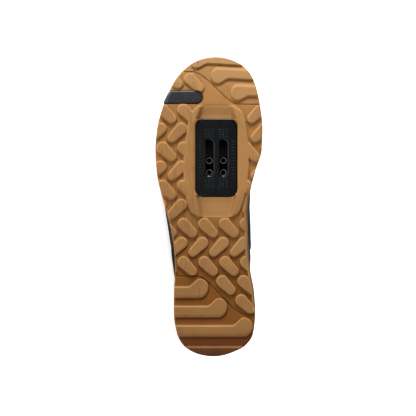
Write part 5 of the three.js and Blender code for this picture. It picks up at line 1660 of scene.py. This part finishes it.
def woven_lace():
    """Flat polyester lace: tight herringbone weave with a faint gloss."""
    made, tree, shader = new_material("woven polyester lace", Roughness=0.75, IOR=1.5, Sheen_Weight=0.15)
    place = node(tree, "Attribute", output="Vector", attribute_name="place")
    waves = []
    for turn in (math.pi / 4, -math.pi / 4):
        inputs = {"Vector": stretched(tree, place, (1, 1, 1), turn), "Scale": 0.35, "Distortion": 0.2}
        waves.append(node(tree, "TexWave", inputs, "Fac", wave_type="BANDS", bands_direction="X"))
    weave = sum_of(tree, *((wave, 0.5) for wave in waves))
    colour = node(tree, "ValToRGB", (weave,), stops=[(0.2, "#0B0C0D"), (0.8, "#222426")])
    finish_material(tree, shader, colour, weave, 0.3)
    return made


def woven_thread():
    """Bonded nylon thread: smooth with a small sheen, a shade lighter than what it sews."""
    made, tree, shader = new_material("bonded nylon thread", Roughness=0.45, IOR=1.53)
    place = node(tree, "Attribute", output="Vector", attribute_name="place")
    twist = node(tree, "TexNoise", {"Vector": place, "Scale": 3.0, **COARSE})
    colour = node(tree, "ValToRGB", (twist,), stops=[(0.3, "#202225"), (0.7, "#34373B")])
    finish_material(tree, shader, colour, twist, 0.05)
    return made


# Pieces

textile, synthetic, lining, thread = mesh_textile(), synthetic_overlay(), soft_lining(), woven_thread()
*sole_shape, sole_relief = sole_mesh()
make_piece("sole", sole_shape, gum_rubber(), "gum_rubber", "outsole", relief=sole_relief)
bare_plate = plate_mesh()
bars = bars_mesh(plate_scale(), PLATE_DEPTH - BAR_HEIGHT, PLATE_DEPTH + 0.3)
plate_shape = joined([bare_plate, bars])
on_bars = (np.arange(len(plate_shape[0])) >= len(bare_plate[0])).astype(float)
make_piece("plate", plate_shape, moulded_plastic(), "plate_plastic", "cleat_plate", relief=on_bars)
make_piece("nuts", nuts_mesh(), nut_steel(), "nut_steel", "cleat_nuts", body="cleat_nut_strip")
make_piece("tag", tag_mesh(), black_rubber(), "black_rubber", "toe_tag")
*upper_shape, upper_threads = upper_mesh()
make_piece("upper_shell", upper_shape, textile, "black_synthetic", "upper", threads=upper_threads)
toe_field, heel_field, stay_field = toe_cap_field(), heel_counter_field(), eyestay_field()
open_stay = np.minimum(stay_field, np.minimum(hole_distance, below_edge - 0.4))
for name, field, stands_for in (
    ("toe_overlay", toe_field, "toe_cap"),
    ("heel_overlay", heel_field, "heel_counter"),
    ("eyelet_overlay", open_stay, "eyestay"),
):
    make_piece(name, overlay(field), synthetic, "black_overlay", stands_for)
sewn_stay = np.where(below_edge > STITCHED_BELOW_EDGE, stay_field, OUTSIDE)
for name, field in (
    ("toe_stitches", toe_field),
    ("heel_stitches", heel_field),
    ("eyelet_stitches", sewn_stay),
):
    make_piece(name, stitches(field, STITCH_INSET), thread, "black_overlay")
make_piece("collar_lining", lining_mesh(), lining, "black_synthetic", fill=0.5)
insole_shape = insole_mesh()
# Top face 1 and underside 0; the underside takes the insole's painted shade
on_top = np.repeat([1.0, 0.0], len(insole_shape[0]) // 2)
make_piece("insole_pad", insole_shape, insole_foam(), "insole_foam", "insole", fill=0.7, relief=on_top)
make_piece("tongue_pad", tongue_mesh(), lining, "black_synthetic", "tongue", fill=0.6)
make_piece("lace_runs", laces_mesh(), woven_lace(), "black_lace", "laces")

# Floor, light and camera


def add_object(name, data, place=(0, 0, 0), axes=np.eye(3)):
    """Object at a place with its x, y and z axes along the given ones."""
    made = bpy.data.objects.new(name, data)
    rows = np.column_stack([*axes, place])
    made.matrix_world = Matrix([*rows.tolist(), [0, 0, 0, 1]])
    bpy.context.scene.collection.objects.link(made)
    return made


def softbox(name, place, target, power):
    """Square area light that faces a target."""
    light = bpy.data.lights.new(name, "AREA")
    light.shape = "RECTANGLE"
    light.size = light.size_y = SOFTBOX_SIZE
    light.energy = power
    back = unit(place - target)
    side = unit(np.cross((0.0, 0.0, 1.0), back))
    return add_object(name, light, place, (side, np.cross(back, side), back))


floor_mesh = bpy.data.meshes.new("floor")
corners = ((-1, -1), (1, -1), (1, 1), (-1, 1))
floor_mesh.from_pydata([(x * FLOOR_HALF, y * FLOOR_HALF, -0.0002) for x, y in corners], [], [(0, 1, 2, 3)])
paper, tree, shader = new_material(
    "white light table", Roughness=0.9, Emission_Color=(1, 1, 1, 1), Emission_Strength=FLOOR_GLOW)
paper_place = node(tree, "TexCoord", output="Object")
grain = node(tree, "TexNoise", {"Vector": paper_place, "Scale": 900, **COARSE})
colour = node(tree, "ValToRGB", (grain,), stops=[(0.2, "#F4F4F4"), (0.8, "#FAFAFA")])
finish_material(tree, shader, colour, grain, 0.05)
floor_mesh.materials.append(paper)
floor = add_object("floor", floor_mesh)

world = bpy.data.worlds.new("studio")
bpy.context.scene.world = world
world.use_nodes = True
sky = world.node_tree
direction = node(sky, "TexCoord", output="Generated")
near_toe = node(sky, "SeparateXYZ", (direction,), 0)
room = node(sky, "MapRange", (near_toe, 0.6, -0.9, ROOM_LIGHT, ROOM_LIGHT + TOE_SIDE_LIGHT), **SMOOTH)
behind = node(sky, "MapRange", (node(sky, "SeparateXYZ", (direction,), 1), 0.1, 0.4), **SMOOTH)
strength = node(sky, "Mix", {0: behind, 2: room, 3: BACK_LIGHT}, data_type="FLOAT")
sky.links.new(strength, sky.nodes["Background"].inputs["Strength"])
sky.nodes["Background"].inputs["Color"].default_value = (1, 1, 1, 1)
bpy.context.scene.view_settings.view_transform = "Standard"
bpy.context.scene.view_settings.look = "Medium High Contrast"

middle, looked_at = to_world([(SOLE_LENGTH / 2, 0, 10), (148.0, -5.0, 0.0)])
key = softbox("key", middle + TOEWARDS * 1.9 - UPWARDS * 1.0 + INWARDS * 0.2, middle, KEY_POWER)
top = softbox("top", middle + INWARDS * 0.85 - UPWARDS * 0.3, middle, TOP_POWER)

camera_data = bpy.data.cameras.new("camera")
camera_data.lens = 100
camera_data.sensor_width = 36
standpoint = looked_at - UPWARDS * CAMERA_DISTANCE
bpy.context.scene.camera = add_object("camera", camera_data, standpoint, (INWARDS, TOEWARDS, -UPWARDS))

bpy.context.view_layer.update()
